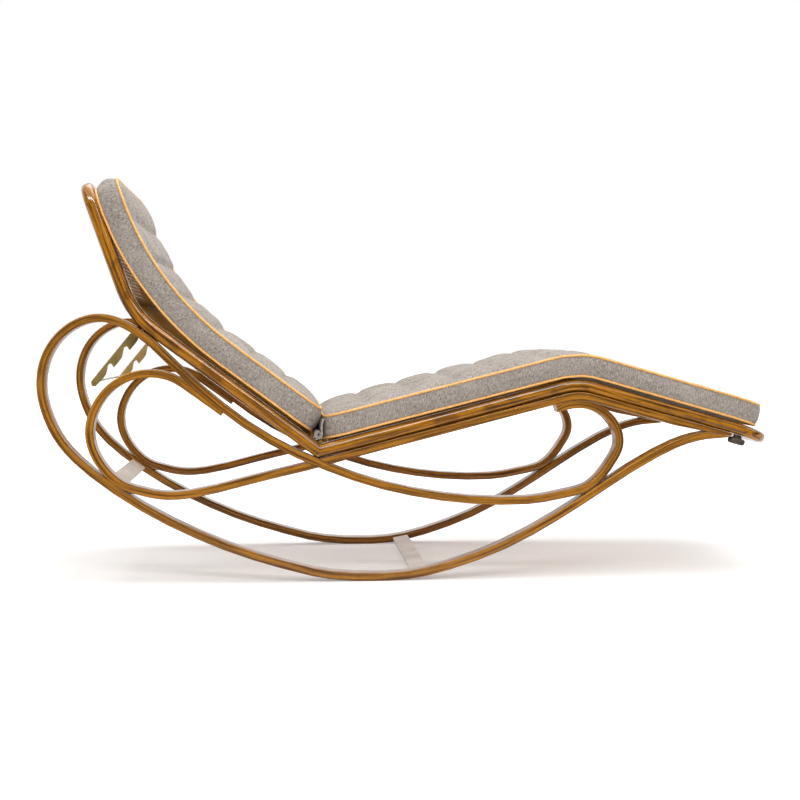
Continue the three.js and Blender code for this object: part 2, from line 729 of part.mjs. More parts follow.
// Cross rails are coped to the frames, and cane panels lie on them
const backTop = raisedLine(backMiddle, railThickness / 2);
const crossDrop = caneDrop + caneThickness / 2 + contactGap + crossThickness / 2;
const blankSpan = 2 * (innerFace + blankLap);
function crossRail(line, distance, frame, sink = 0) {
  const s = stationAt(line, distance);
  const frames = [-0.5, 0.5].map((share) => ({
    origin: space(raise(s, -crossDrop - sink), share * blankSpan),
    up: space(s.up),
    side: space(s.along),
  }));
  return cut(sweep(frames, easedBox(crossWidth, crossThickness, stripEase)), frame);
}
function canePanel(line, from, to, frame) {
  const middle = raisedLine(trimmed(line, from, to), -caneDrop);
  const half = innerFace + caneLap;
  return cut(sweep(middle.map((s) => flatFrame(s)), [
    [half, caneThickness / 2], [-half, caneThickness / 2],
    [-half, -caneThickness / 2], [half, -caneThickness / 2],
  ]), frame);
}
const seatCutter = seatRail(cutGap);
const backCutter = backRail(cutGap);
const [seatGroove, backGroove] = [seatRail(contactGap), backRail(contactGap)];
const seatKneeDistance = placeOn(seatTop, stationAtX(seatTop, seatKnee.x));
const backLength = lineLength(backTop);
const backBendDistance = topCorner.distanceTo(backBend);
const seatEndRail = seatLength - railWidth / 2 + caneLap;
const backEndRail = backLength - railWidth / 2 + caneLap;
const midRailDistance = backBendDistance + midRailShift;
const caneStart = crossInset - crossWidth / 2 + stripEase;
const kneeSink = crossWidth ** 2 / (8 * seatKneeRadius) + cutGap;
add(base, 'seat_rear_rail', crossRail(seatTop, crossInset, seatCutter), woodRail);
add(base, 'seat_knee_rail', crossRail(seatTop, seatKneeDistance, seatCutter, kneeSink), woodRail);
add(back, 'back_bottom_rail', crossRail(backTop, crossInset, backCutter), woodRail);
add(back, 'back_mid_rail', crossRail(backTop, midRailDistance, backCutter), woodRail);
add(base, 'seat_cane_rear', canePanel(seatTop, caneStart, seatKneeDistance - cutGap, seatGroove), caneStraw);
add(base, 'seat_cane_front', canePanel(seatTop, seatKneeDistance + cutGap, seatEndRail, seatGroove), caneStraw);
add(back, 'back_cane_lower', canePanel(backTop, caneStart, midRailDistance - cutGap, backGroove), caneStraw);
add(back, 'back_cane_upper', canePanel(backTop, midRailDistance + cutGap, backEndRail, backGroove), caneStraw);

// Hinges stand in the mitres: leaves against the ends of the frames, knuckles on top, a headed pin
const knuckleLength = (leafWidth - 2 * runningGap) / 3;
const knuckleAt = (share) => share * (knuckleLength + runningGap);
const hingeRod = (from, to, radius) => rod(space(hingePoint, from), space(hingePoint, to), radius);
const knuckle = (share, radius, spare) => hingeRod(
  knuckleAt(share) - knuckleLength / 2 - spare,
  knuckleAt(share) + knuckleLength / 2 + spare,
  radius,
);
function hingeLeaf(slope, own, others) {
  const normal = slope.clone().addScaledVector(mitreAxis, -slope.dot(mitreAxis)).normalize();
  const above = hingePoint.distanceTo(topCorner);
  const middle = topCorner.clone()
    .addScaledVector(mitreAxis, (above - leafDepth) / 2)
    .addScaledVector(normal, cutGap / 2 + leafThickness / 2);
  const flat = box({ point: middle, along: mitreAxis, up: normal }, 0, above + leafDepth, leafWidth, leafThickness);
  const leaf = join(flat, ...own.map((share) => knuckle(share, knuckleRadius, 0)));
  const spaces = others.map((share) => knuckle(share, knuckleRadius + runningGap, runningGap));
  return cut(leaf, ...spaces, hingeRod(-leafWidth, leafWidth, pinRadius + runningGap));
}
const seatLeaf = hingeLeaf(seatSlope, [-1, 1], [0]);
const backLeaf = hingeLeaf(backSlope, [0], [-1, 1]);
const pinHalf = leafWidth / 2 + runningGap;
const pinProfile = [
  [0, -pinHalf - pinHeadHeight], [pinHeadRadius, -pinHalf - pinHeadHeight], [pinHeadRadius, -pinHalf],
  [pinRadius, -pinHalf], [pinRadius, pinHalf], [pinHeadRadius, pinHalf],
  [pinHeadRadius, pinHalf + pinHeadHeight], [0, pinHalf + pinHeadHeight],
];
const hingePin = new THREE.LatheGeometry(pinProfile.map(([r, h]) => vec(r, h)), 14);
hingePin.translate(hingePoint.x, 0, hingePoint.y);
for (const [side, sign] of sides) {
  const place = sign * railPlace;
  add(base, `hinge_seat_leaf_${side}`, seatLeaf.clone(), brass).position.y = place;
  add(back, `hinge_back_leaf_${side}`, backLeaf.clone(), brass).position.y = place;
  add(base, `hinge_pin_${side}`, outward(hingePin.clone()), brass).position.y = place;
}

// A plate with an outline in the side view, centred on its own thickness
function plate(outline, thickness) {
  const geometry = new THREE.ExtrudeGeometry(new THREE.Shape(outline), { depth: thickness, bevelEnabled: false });
  geometry.rotateX(Math.PI / 2).translate(0, thickness / 2, 0);
  return geometry;
}

// Notched racks: they hang from the back frame, and their notches face the catch rod
const rodReach = pivot.distanceTo(backRest);
const rodAcross = rackFrontEdge + rodAhead;
const rodAlong = Math.sqrt(rodReach ** 2 - rodAcross ** 2);
const firstTip = rodAlong - rodPastTip;
const rackAlong = backRest.clone().sub(pivot).normalize().rotateAround(vec(0, 0), -Math.atan2(rodAcross, rodAlong));
const rackUp = vec(-rackAlong.y, rackAlong.x);
const onRack = (a, b) => pivot.clone().addScaledVector(rackAlong, a).addScaledVector(rackUp, b);
const notchShares = [[0, 0], [-0.06, -0.84], [0.07, -1], [0.435, -0.18], [0.61, -0.08]];
const lastShare = notchShares[notchShares.length - 1][0];
const tipCount = 1 + Math.floor((rackLength - tieInset - firstTip) / rackPitch - lastShare);
const rackFront = (a) => rackFrontEdge - rackTaper * (a - firstTip) / (rackLength - firstTip);
function rackOutline() {
  const points = [];
  const steps = 8;
  for (let i = 0; i <= steps; i += 1) {
    const angle = Math.PI * (1.5 - i / steps);
    points.push(onRack(rackEyeRadius * Math.cos(angle), rackEyeRadius * Math.sin(angle)));
  }
  for (let k = 0; k < tipCount; k += 1) {
    const tip = firstTip + k * rackPitch;
    for (const [alongShare, depthShare] of notchShares) {
      const a = tip + alongShare * rackPitch;
      points.push(onRack(a, rackFront(a) + depthShare * rackNotchDepth));
    }
  }
  const endFront = rackFront(rackLength);
  points.push(onRack(rackLength - tieInset, endFront), onRack(rackLength - rackEase, endFront - rackEase / 2));
  points.push(onRack(rackLength, endFront - 2 * rackEase), onRack(rackLength, 2 * rackEase - rackBackEdge));
  points.push(onRack(rackLength - 2 * rackEase, -rackBackEdge), onRack(2 * rackBackEdge, -rackBackEdge));
  return points;
}
const tie = onRack(rackLength - tieInset, -tieBack);
const tieHalf = rackPlace - rackThickness / 2 + tieSeatDepth;
const tieSeat = rod(space(tie, -overrun), space(tie, tieSeatDepth + cutGap - rackThickness / 2), tieRadius + cutGap);
const screwBore = rod(space(pivot, -rackThickness), space(pivot, rackThickness), screwRadius + runningGap);
const rackShape = cut(plate(rackOutline(), rackThickness), tieSeat, screwBore);
const rackInner = rackPlace - rackThickness / 2 - runningGap;
const screwProfile = [
  [0, rackInner - screwHeadHeight], [screwHeadRadius, rackInner - screwHeadHeight], [screwHeadRadius, rackInner],
  [screwRadius, rackInner], [screwRadius, innerFace + screwDepth], [0, innerFace + screwDepth],
];
const screwShape = new THREE.LatheGeometry(screwProfile.map(([r, h]) => vec(r, h)), 14);
screwShape.translate(pivot.x, 0, pivot.y);
for (const [side, sign] of sides) {
  const rack = sign > 0 ? rackShape.clone() : mirrored(rackShape);
  add(racks, `rack_${side}`, rack, brass).position.y = sign * rackPlace;
  add(back, `rack_screw_${side}`, sign > 0 ? outward(screwShape.clone()) : mirrored(screwShape), brass);
}
add(racks, 'rack_tie_rod', rod(space(tie, -tieHalf), space(tie, tieHalf), tieRadius, 12), brass);

// The bumper hangs on a short neck under the near rail, past the tip of the scroll
const bumperStation = stationAtX(seatTop, xAt(0.9669));
const bumperTop = seatThickness(bumperStation) + cutGap;
const bumperMiddle = bumperTop + bumperNeck + bumperHeight / 2;
const neckShare = bumperNeckWidth / bumperLength;
const bumperRings = [
  [-0.5, 0.8], [-0.3, 1], [0.3, 1], [0.5, 0.86], [0.5, neckShare], [0.5 + bumperNeck / bumperHeight, neckShare],
];
const bumper = sweep(bumperRings.map(([heightShare, sizeShare]) => ({
  origin: space(raise(bumperStation, heightShare * bumperHeight - bumperMiddle)),
  up: space(bumperStation.along).multiplyScalar(sizeShare),
  side: new THREE.Vector3(0, sizeShare, 0),
})), roundedOval(bumperWidth, bumperLength, 0.8));
add(base, 'foot_bumper', bumper, darkRubber).position.y = -railPlace;

// Cushions: a loft over their lower piping line, with a crown, sewn rows of tufts and rounded corners
const cushionHalf = chaiseWidth / 2 - cushionInset;
const kneeChord = tuftSpacing / 3;
const caneClear = caneDrop - caneThickness / 2 - cutGap - kneeChord ** 2 / (8 * seatKneeRadius);
const degrees = Math.PI / 180;
function cushion({ line, side, liftAt, start, startLean, end, endClear }) {
  const heading = Math.sign(line[1].point.clone().sub(line[0].point).dot(line[0].along));
  const first = start + Math.tan(startLean) * liftAt(line[0]);
  const last = lineLength(line) - end;
  const rows = Math.round((last - first) / tuftSpacing);
  const spacing = (last - first) / rows;
  const stepShares = [0, 0.15, 0.5, 0.85];
  const places = new Set();
  for (let i = 0; i < rows * stepShares.length; i += 1) {
    places.add(spacing * (Math.floor(i / stepShares.length) + stepShares[i % stepShares.length]));
  }
  const cornerSteps = 4;
  for (let i = 0; i <= cornerSteps; i += 1) {
    const inset = cushionCorner * (1 - Math.cos(Math.PI / 2 * i / cornerSteps));
    places.add(inset);
    places.add(last - first - inset);
  }
  const closest = cushionEase;
  const sorted = [...places].sort((a, b) => a - b).filter((d, i, all) => i === 0 || d - all[i - 1] > closest
    || d === 0 || i === all.length - 1);
  const rings = sorted.map((d) => {
    const s = stationAt(line, first + d);
    const fromEnd = Math.min(d, last - first - d);
    const corner = Math.max(cushionCorner - fromEnd, 0);
    const w = cushionHalf - cushionCorner + Math.sqrt(cushionCorner ** 2 - corner ** 2);
    const fade = Math.sin(Math.PI / 2 * Math.min(fromEnd / crownReach, 1));
    const row = Math.cos(Math.PI * d / spacing) ** 6;
    const top = (yShare) => side + fade * (cushionCrown * (1 - yShare ** 2.2) - tuftDepth * row * (1 - yShare ** 4));
    const sagShare = THREE.MathUtils.clamp((last - first - d - endClear) / cushionCorner, 0, 1);
    const sag = -sagShare * (liftAt(s) + caneClear);
    const half = [
      [0.8, sag], [0.9, Math.max(sag, -liftAt(s) + cushionEase)], [1 - cushionBulge / cushionHalf, 0],
      [1, side / 2], [1 - cushionBulge / cushionHalf, side], [0.9, top(0.9)], [0.7, top(0.7)], [0.42, top(0.42)],
      [0.14, top(0.14)],
    ];
    const ring = [[0, sag], ...half, [0, top(0)], ...half.map(([y, h]) => [-y, h]).reverse()];
    const leanShare = Math.max(1 - d / crownReach, 0);
    return ring.map(([yShare, h]) => space(
      raise(s, h).addScaledVector(s.along, heading * leanShare * Math.tan(startLean) * h),
      yShare * w,
    ));
  });
  return loft(rings);
}
const seatPiping = raisedLine(seatTop, seatCushionLift);
const seatCushion = cushion({
  line: seatPiping,
  side: seatCushionSide,
  liftAt: () => seatCushionLift,
  start: seatCushionEnd,
  startLean: seatEndLean * degrees,
  end: seatFootInset,
  endClear: railWidth - seatFootInset + cornerRadius,
});
add(base, 'seat_cushion', seatCushion, tweed);

// The back cushion bridges the bend of the back frame on a wider bend of its own
function meeting(p, u, q, v) {
  const share = q.clone().sub(p).cross(v) / u.cross(v);
  return p.clone().addScaledVector(u, share);
}
const lowerPiping = raise(backTop[0], backCushionLift);
const upperPiping = raise(backTop[backTop.length - 1], backHeadLift);
const pipingBend = meeting(lowerPiping, backSlope, upperPiping, headSlope);
const backPiping = bentLine(lowerPiping, pipingBend, upperPiping, backCushionBendRadius, 10).map(turned);
const backTurn = backSlope.angleTo(headSlope);
const backCushion = cushion({
  line: backPiping,
  side: backCushionSide,
  liftAt: (s) => THREE.MathUtils.lerp(
    backCushionLift,
    backHeadLift,
    Math.min(s.along.clone().negate().angleTo(backSlope) / backTurn, 1),
  ),
  start: backCushionEnd,
  startLean: backEndLean * degrees,
  end: backHeadInset,
  endClear: railWidth - backHeadInset + cornerRadius,
});
add(back, 'back_cushion', backCushion, tweed);

// A roll of cloth hangs from the end of the seat cushion and closes the gap between the two cushions
const seatUp = vec(-seatSlope.y, seatSlope.x);
const seatCorner = topCorner.clone().addScaledVector(seatSlope, endGap);
const besideHinge = (along, up) => seatCorner.clone().addScaledVector(seatSlope, along).addScaledVector(seatUp, up);
function flapOutline() {
  const tipHeight = flapHeight - flapTipDrop;
  const lean = Math.tan(seatEndLean * degrees);
  const tipDistance = seatCushionEnd + lean * tipHeight - 2 * contactGap;
  const tipAngle = Math.atan2(tipHeight - flapHeight, tipDistance - flapDistance);
  const steps = 12;
  const points = [-flapEdge, flapEdge].map((up) => besideHinge(tipDistance + lean * up, tipHeight + up));
  for (let i = 2; i <= steps - 2; i += 1) {
    const angle = tipAngle + 2 * Math.PI * i / steps;
    points.push(besideHinge(
      flapDistance + flapRadius * Math.cos(angle),
      flapHeight + flapRadius * Math.sin(angle),
    ));
  }
  return points;
}
add(base, 'cushion_flap', plate(flapOutline(), 2 * (cushionHalf - flapInset)), tweed);

// The origin is on the floor, below the middle of the whole chaise
const whole = new THREE.Box3().setFromObject(group);
group.position.set(-(whole.min.x + whole.max.x) / 2, 0, -whole.min.z);

export default group;
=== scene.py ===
"""Looks of a rocking chaise lounge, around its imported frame.

It builds the studio, the finishes, the cushions, the cane and the fittings. Lengths are in
metres. +X points to the foot end, +Y to the far side and +Z up.
"""

from __future__ import annotations

import json
import logging
import math
from collections import deque
from collections.abc import Iterator
from contextlib import contextmanager
from dataclasses import dataclass, field
from enum import Enum

import bmesh
import bpy
import numpy as np
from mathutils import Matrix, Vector, noise

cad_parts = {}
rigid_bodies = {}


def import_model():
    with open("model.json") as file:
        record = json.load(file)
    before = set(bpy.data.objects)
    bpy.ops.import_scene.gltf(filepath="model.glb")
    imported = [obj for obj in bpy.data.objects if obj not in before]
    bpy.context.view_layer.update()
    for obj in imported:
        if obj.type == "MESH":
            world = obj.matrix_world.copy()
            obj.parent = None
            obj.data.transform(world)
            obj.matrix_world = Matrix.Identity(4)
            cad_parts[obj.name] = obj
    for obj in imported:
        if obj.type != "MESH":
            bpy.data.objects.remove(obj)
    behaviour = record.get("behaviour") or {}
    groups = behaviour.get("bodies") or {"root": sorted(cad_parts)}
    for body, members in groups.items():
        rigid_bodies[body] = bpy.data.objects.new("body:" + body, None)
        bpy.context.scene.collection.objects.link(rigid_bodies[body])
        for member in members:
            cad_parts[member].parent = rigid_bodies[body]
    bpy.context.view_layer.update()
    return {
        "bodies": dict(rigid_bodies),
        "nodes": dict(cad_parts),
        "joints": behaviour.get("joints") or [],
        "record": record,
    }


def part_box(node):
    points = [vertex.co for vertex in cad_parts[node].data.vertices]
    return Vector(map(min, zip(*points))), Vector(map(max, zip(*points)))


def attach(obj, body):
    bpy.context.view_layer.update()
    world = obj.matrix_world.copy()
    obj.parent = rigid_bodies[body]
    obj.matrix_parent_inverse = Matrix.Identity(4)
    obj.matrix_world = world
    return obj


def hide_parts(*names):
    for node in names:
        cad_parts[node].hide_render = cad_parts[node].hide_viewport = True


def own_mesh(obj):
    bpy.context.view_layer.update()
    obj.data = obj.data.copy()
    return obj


log = logging.getLogger("chaise")

MERGE = 1e-5
SIDEWAYS = 0.99
SIDE_READING = 0.0005
UP = Vector((0.0, 0.0, 1.0))
ACROSS = Vector((0.0, 1.0, 0.0))
FLOAT = "NodeSocketFloat"
COLOUR = "NodeSocketColor"
VECTOR = "NodeSocketVector"


class Body(str, Enum):
    """The moving bodies of the chaise."""

    BASE = "base"
    BACK = "back"
    RACKS = "rack_set"


class Side(Enum):
    """The two sides of the chaise, by the sign of Y."""

    near = -1
    far = 1


def linear(red: int, green: int, blue: int) -> tuple[float, float, float, float]:
    """Turn a colour of 0 to 255 a channel into a linear colour.

    Args:
        red: The red share, as on a screen.
        green: The green share.
        blue: The blue share.

    Returns:
        The linear colour with an opaque alpha.
    """
    shares = [c / 255 for c in (red, green, blue)]
    return (*[s / 12.92 if s <= 0.04045 else ((s + 0.055) / 1.055) ** 2.4 for s in shares], 1.0)


def pick(piece: bpy.types.Object) -> bpy.types.Object:
    """Make a piece the only selected and active object.

    Args:
        piece: The object to work on.

    Returns:
        The same object.
    """
    bpy.ops.object.select_all(action="DESELECT")
    piece.select_set(True)
    bpy.context.view_layer.objects.active = piece
    return piece


def apply_modifiers(piece: bpy.types.Object) -> None:
    """Apply every modifier of a piece in order.

    Args:
        piece: The object that carries them.
    """
    pick(piece)
    for name in [m.name for m in piece.modifiers]:
        bpy.ops.object.modifier_apply(modifier=name)


@contextmanager
def editing(piece: bpy.types.Object) -> Iterator[None]:
    """Open a piece for editing, with everything in it selected.

    Args:
        piece: The object to edit.

    Yields:
        Nothing.
    """
    pick(piece)
    bpy.ops.object.mode_set(mode="EDIT")
    bpy.ops.mesh.select_all(action="SELECT")
    yield
    bpy.ops.object.mode_set(mode="OBJECT")


def mesh_piece(name: str, points: list[Vector], faces: list[tuple[int, ...]]) -> bpy.types.Object:
    """Make an object from points and faces.

    Args:
        name: The name of the object.
        points: The corners, in the row frame.
        faces: The faces, by corner number.

    Returns:
        The new object, linked to the scene.
    """
    mesh = bpy.data.meshes.new(name)
    mesh.from_pydata([tuple(p) for p in points], [], faces)
    mesh.update()
    piece = bpy.data.objects.new(name, mesh)
    bpy.context.scene.collection.objects.link(piece)
    return piece


def node_copy(frame: dict, node: str, name: str) -> bpy.types.Object:
    """Copy a CAD node and weld its loose triangles.

    Args:
        node: The node to copy.
        name: The name of the copy.

    Returns:
        The welded copy, free of any parent.
    """
    source = frame["nodes"][node]
    piece = bpy.data.objects.new(name, source.data.copy())
    bpy.context.scene.collection.objects.link(piece)
    for key in list(piece.data.attributes.keys()):
        if key in ("custom_normal", "sharp_edge", "sharp_face"):
            piece.data.attributes.remove(piece.data.attributes[key])
    with editing(piece):
        bpy.ops.mesh.remove_doubles(threshold=MERGE)
    return piece


def smooth(piece: bpy.types.Object, degrees: float, weighted: bool = True) -> None:
    """Shade a piece smooth up to an angle, with large faces kept flat.

    Args:
        piece: The object to shade.
        degrees: Edges sharper than this stay crisp.
        weighted: Whether the normals lean to the larger faces.
    """
    pick(piece)
    bpy.ops.object.shade_smooth_by_angle(angle=math.radians(degrees))
    if weighted:
        modifier = piece.modifiers.new("soft_edges", "WEIGHTED_NORMAL")
        modifier.keep_sharp = True
        modifier.weight = 60
        apply_modifiers(piece)


def settle(
    piece: bpy.types.Object, material: bpy.types.Material, body: Body, slot: str, *nodes: str
) -> bpy.types.Object:
    """Dress a finished piece and hang it on its body.

    Args:
        piece: The finished object.
        material: Its finish.
        body: The body that it moves with.
        slot: The record's material slot. Not used.
        *nodes: The CAD nodes that it stands for.

    Returns:
        The same object.
    """
    piece.data.materials.clear()
    piece.data.materials.append(material)
    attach(piece, body.value)
    if nodes:
        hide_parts(*nodes)
    log.info("%s rides on %s", piece.name, body.value)
    return piece


class Graph:
    """A node tree with short ways to add and join nodes."""

    def __init__(self, tree: bpy.types.NodeTree) -> None:
        """Keep the tree."""
        self.tree = tree

    def node(self, kind: str, inputs: dict | None = None, **settings: object) -> bpy.types.Node:
        """Add a node.

        Args:
            kind: The node's type without the ShaderNode prefix.
            inputs: Sockets by name or number, with a value or another socket.
            **settings: The node's own properties.

        Returns:
            The new node.
        """
        made = self.tree.nodes.new(kind if kind.startswith("Node") else f"ShaderNode{kind}")
        for key, value in settings.items():
            setattr(made, key, value)
        for key, value in (inputs or {}).items():
            self.feed(made.inputs[key], value)
        return made

    def feed(self, socket: bpy.types.NodeSocket, value: object) -> None:
        """Link a socket or set its value.

        Args:
            socket: The input to feed.
            value: Another socket, or a plain value.
        """
        if isinstance(value, bpy.types.NodeSocket):
            self.tree.links.new(value, socket)
        else:
            socket.default_value = value

    def math(self, operation: str, *values: object) -> bpy.types.NodeSocket:
        """Add a math node and return its result."""
        return self.node("Math", dict(enumerate(values)), operation=operation).outputs[0]

    def stretch(self, value: object, scales: tuple[float, float, float]) -> bpy.types.NodeSocket:
        """Scale a vector along each axis."""
        made = self.node("VectorMath", {0: value, 1: scales}, operation="MULTIPLY")
        return made.outputs[0]

    def noise(self, vector: object, detail: float, rough: float) -> bpy.types.NodeSocket:
        """Add a noise texture and return its factor."""
        inputs = {"Vector": vector, "Scale": 1.0, "Detail": detail, "Roughness": rough}
        return self.node("TexNoise", inputs).outputs["Fac"]

    def ramp(
        self, value: object, low: float, high: float, to: tuple[float, float] = (0.0, 1.0)
    ) -> bpy.types.NodeSocket:
        """Stretch a value smoothly to a new range, clamped.

        Args:
            value: The value to stretch.
            low: Where the new range starts.
            high: Where it ends.
            to: The new range.

        Returns:
            The stretched value.
        """
        made = self.node(
            "MapRange",
            {"Value": value, "From Min": low, "From Max": high, "To Min": to[0], "To Max": to[1]},
            interpolation_type="SMOOTHSTEP",
        )
        return made.outputs["Result"]

    def mix(self, share: object, first: object, second: object) -> bpy.types.NodeSocket:
        """Mix two colours.

        Args:
            share: The share of the second colour.
            first: The first colour.
            second: The second colour.

        Returns:
            The mixed colour.
        """
        made = self.node("Mix", data_type="RGBA", clamp_factor=True)
        self.feed(made.inputs["Factor"], share)
        sockets = [s for s in made.inputs if s.type == "RGBA"]
        self.feed(sockets[0], first)
        self.feed(sockets[1], second)
        return [s for s in made.outputs if s.type == "RGBA"][0]


def shader_group(
    name: str, inputs: dict[str, tuple[str, object]]
) -> tuple[Graph, bpy.types.Node, bpy.types.Node]:
    """Start a shader node group that puts out a colour, a roughness and a height.

    Args:
        name: The group's name.
        inputs: Socket type and default value by name.

    Returns:
        The graph, the group's input node and its output node.
    """
    tree = bpy.data.node_groups.new(name, "ShaderNodeTree")
    for label, (kind, default) in inputs.items():
        socket = tree.interface.new_socket(label, in_out="INPUT", socket_type=kind)
        if default is not None:
            socket.default_value = default
    for label, kind in (("Color", COLOUR), ("Roughness", FLOAT), ("Height", FLOAT)):
        tree.interface.new_socket(label, in_out="OUTPUT", socket_type=kind)
    graph = Graph(tree)
    return graph, graph.node("NodeGroupInput"), graph.node("NodeGroupOutput")


class Effects:
    """The shader groups that several finishes share. Scales are per metre, along, up and across."""

    STREAK = (6, 260, 260)
    PORE = (50, 1100, 1100)
    FIGURE = (17, 26, 15)
    FLECK = (620, 300, 300)
    SLUB = (260, 110, 200)
    CLOUD = (9, 9, 9)
    TONE_SHARE = 0.55
    SEAM_SHARE = 0.8

    def __init__(self) -> None:
        """Build each group once."""
        self.grain = self._grain()
        self.yarn = self._yarn()
        self.mottle = self._mottle()

    def _grain(self) -> bpy.types.NodeTree:
        """Build wood grain that runs along the first coordinate, with layers across the second.

        Returns:
            The node group.
        """
        g, start, end = shader_group(
            "wood_grain",
            {
                "Place": (VECTOR, None),
                "Light": (COLOUR, (0.5, 0.3, 0.1, 1)),
                "Dark": (COLOUR, (0.1, 0.05, 0.02, 1)),
                "Figure": (FLOAT, 0.4),
                "Layers per metre": (FLOAT, 0.0),
                "Layer tone": (FLOAT, 0.0),
            },
        )
        place = start.outputs["Place"]
        streak = g.noise(g.stretch(place, self.STREAK), detail=5, rough=0.62)
        pore = g.noise(g.stretch(place, self.PORE), detail=2, rough=0.5)
        figure = g.noise(g.stretch(place, self.FIGURE), detail=3, rough=0.55)
        pores = g.ramp(pore, 0.56, 0.68)
        bands = g.ramp(streak, 0.34, 0.62)
        patches = g.math("MULTIPLY", g.ramp(figure, 0.5, 0.68), start.outputs["Figure"])
        colour = g.mix(bands, start.outputs["Dark"], start.outputs["Light"])
        colour = g.mix(patches, colour, start.outputs["Dark"])
        above = g.node("SeparateXYZ", {0: place}).outputs["Y"]
        layers = g.math("MULTIPLY", above, start.outputs["Layers per metre"])
        number = g.math("FLOOR", g.math("ADD", layers, 0.5))
        tone = g.node("TexWhiteNoise", {"W": number}, noise_dimensions="1D").outputs["Value"]
        edge = g.math("ABSOLUTE", g.math("SUBTRACT", layers, g.math("ROUND", layers)))
        seam = g.math("MULTIPLY", g.ramp(edge, 0.44, 0.5), start.outputs["Layer tone"])
        tone = g.math("MULTIPLY", tone, self.TONE_SHARE)
        tone = g.math("MULTIPLY", tone, start.outputs["Layer tone"])
        shade = g.math("MAXIMUM", g.math("MULTIPLY", seam, self.SEAM_SHARE), tone)
        colour = g.mix(shade, colour, start.outputs["Dark"])
        colour = g.mix(g.math("MULTIPLY", pores, 0.5), colour, start.outputs["Dark"])
        height = g.math("SUBTRACT", g.math("MULTIPLY", streak, 0.4), g.math("MULTIPLY", pores, 0.5))
        height = g.math("SUBTRACT", height, seam)
        g.feed(end.inputs["Color"], colour)
        g.feed(end.inputs["Roughness"], g.ramp(streak, 0.2, 0.8, (0.34, 0.2)))
        g.feed(end.inputs["Height"], height)
        return g.tree

    def _yarn(self) -> bpy.types.NodeTree:
        """Build a flecked plain weave over coordinates in metres.

        Returns:
            The node group.
        """
        g, start, end = shader_group(
            "flecked_yarn",
            {
                "Place": (VECTOR, None),
                "Light": (COLOUR, (0.5, 0.5, 0.5, 1)),
                "Middle": (COLOUR, (0.3, 0.3, 0.3, 1)),
                "Dark": (COLOUR, (0.1, 0.1, 0.1, 1)),
                "Threads per metre": (FLOAT, 700.0),
            },
        )
        place = start.outputs["Place"]
        threads = g.math("MULTIPLY", start.outputs["Threads per metre"], math.pi)
        parts = g.node("SeparateXYZ", {0: place})
        warp = g.math("ABSOLUTE", g.math("SINE", g.math("MULTIPLY", parts.outputs["X"], threads)))
        weft = g.math("ABSOLUTE", g.math("SINE", g.math("MULTIPLY", parts.outputs["Y"], threads)))
        fleck = g.noise(g.stretch(place, self.FLECK), detail=3, rough=0.65)
        slub = g.noise(g.stretch(place, self.SLUB), detail=3, rough=0.6)
        cloud = g.noise(g.stretch(place, self.CLOUD), detail=3, rough=0.6)
        blend = g.math("ADD", g.math("MULTIPLY", fleck, 0.55), g.math("MULTIPLY", slub, 0.45))
        colour = g.mix(g.ramp(blend, 0.36, 0.5), start.outputs["Dark"], start.outputs["Middle"])
        colour = g.mix(g.ramp(blend, 0.5, 0.66), colour, start.outputs["Light"])
        colour = g.mix(g.ramp(cloud, 0.35, 0.75, (0.0, 0.22)), colour, start.outputs["Light"])
        height = g.math("ADD", g.math("MULTIPLY", g.math("MULTIPLY", warp, weft), 0.5), blend)
        g.feed(end.inputs["Color"], colour)
        g.feed(end.inputs["Roughness"], g.ramp(blend, 0.3, 0.7, (0.98, 0.85)))
        g.feed(end.inputs["Height"], height)
        return g.tree

    def _mottle(self) -> bpy.types.NodeTree:
        """Build soft blotches between two colours, for patina, scuffs and dust.

        Returns:
            The node group.
        """
        g, start, end = shader_group(
            "mottle",
            {
                "Place": (VECTOR, None),
                "Per metre": (FLOAT, 60.0),
                "Low": (COLOUR, (0.1, 0.1, 0.1, 1)),
                "High": (COLOUR, (0.5, 0.5, 0.5, 1)),
                "Smooth": (FLOAT, 0.3),
                "Rough": (FLOAT, 0.6),
            },
        )
        scaled = g.node("VectorMath", {0: start.outputs["Place"]}, operation="SCALE")
        g.feed(scaled.inputs["Scale"], start.outputs["Per metre"])
        blotch = g.noise(scaled.outputs[0], detail=6, rough=0.65)
        share = g.ramp(blotch, 0.35, 0.68)
        g.feed(end.inputs["Color"], g.mix(share, start.outputs["Low"], start.outputs["High"]))
        shine = g.node("MapRange", {"Value": share})
        g.feed(shine.inputs["To Min"], start.outputs["Rough"])
        g.feed(shine.inputs["To Max"], start.outputs["Smooth"])
        g.feed(end.inputs["Roughness"], shine.outputs["Result"])
        g.feed(end.inputs["Height"], blotch)
        return g.tree


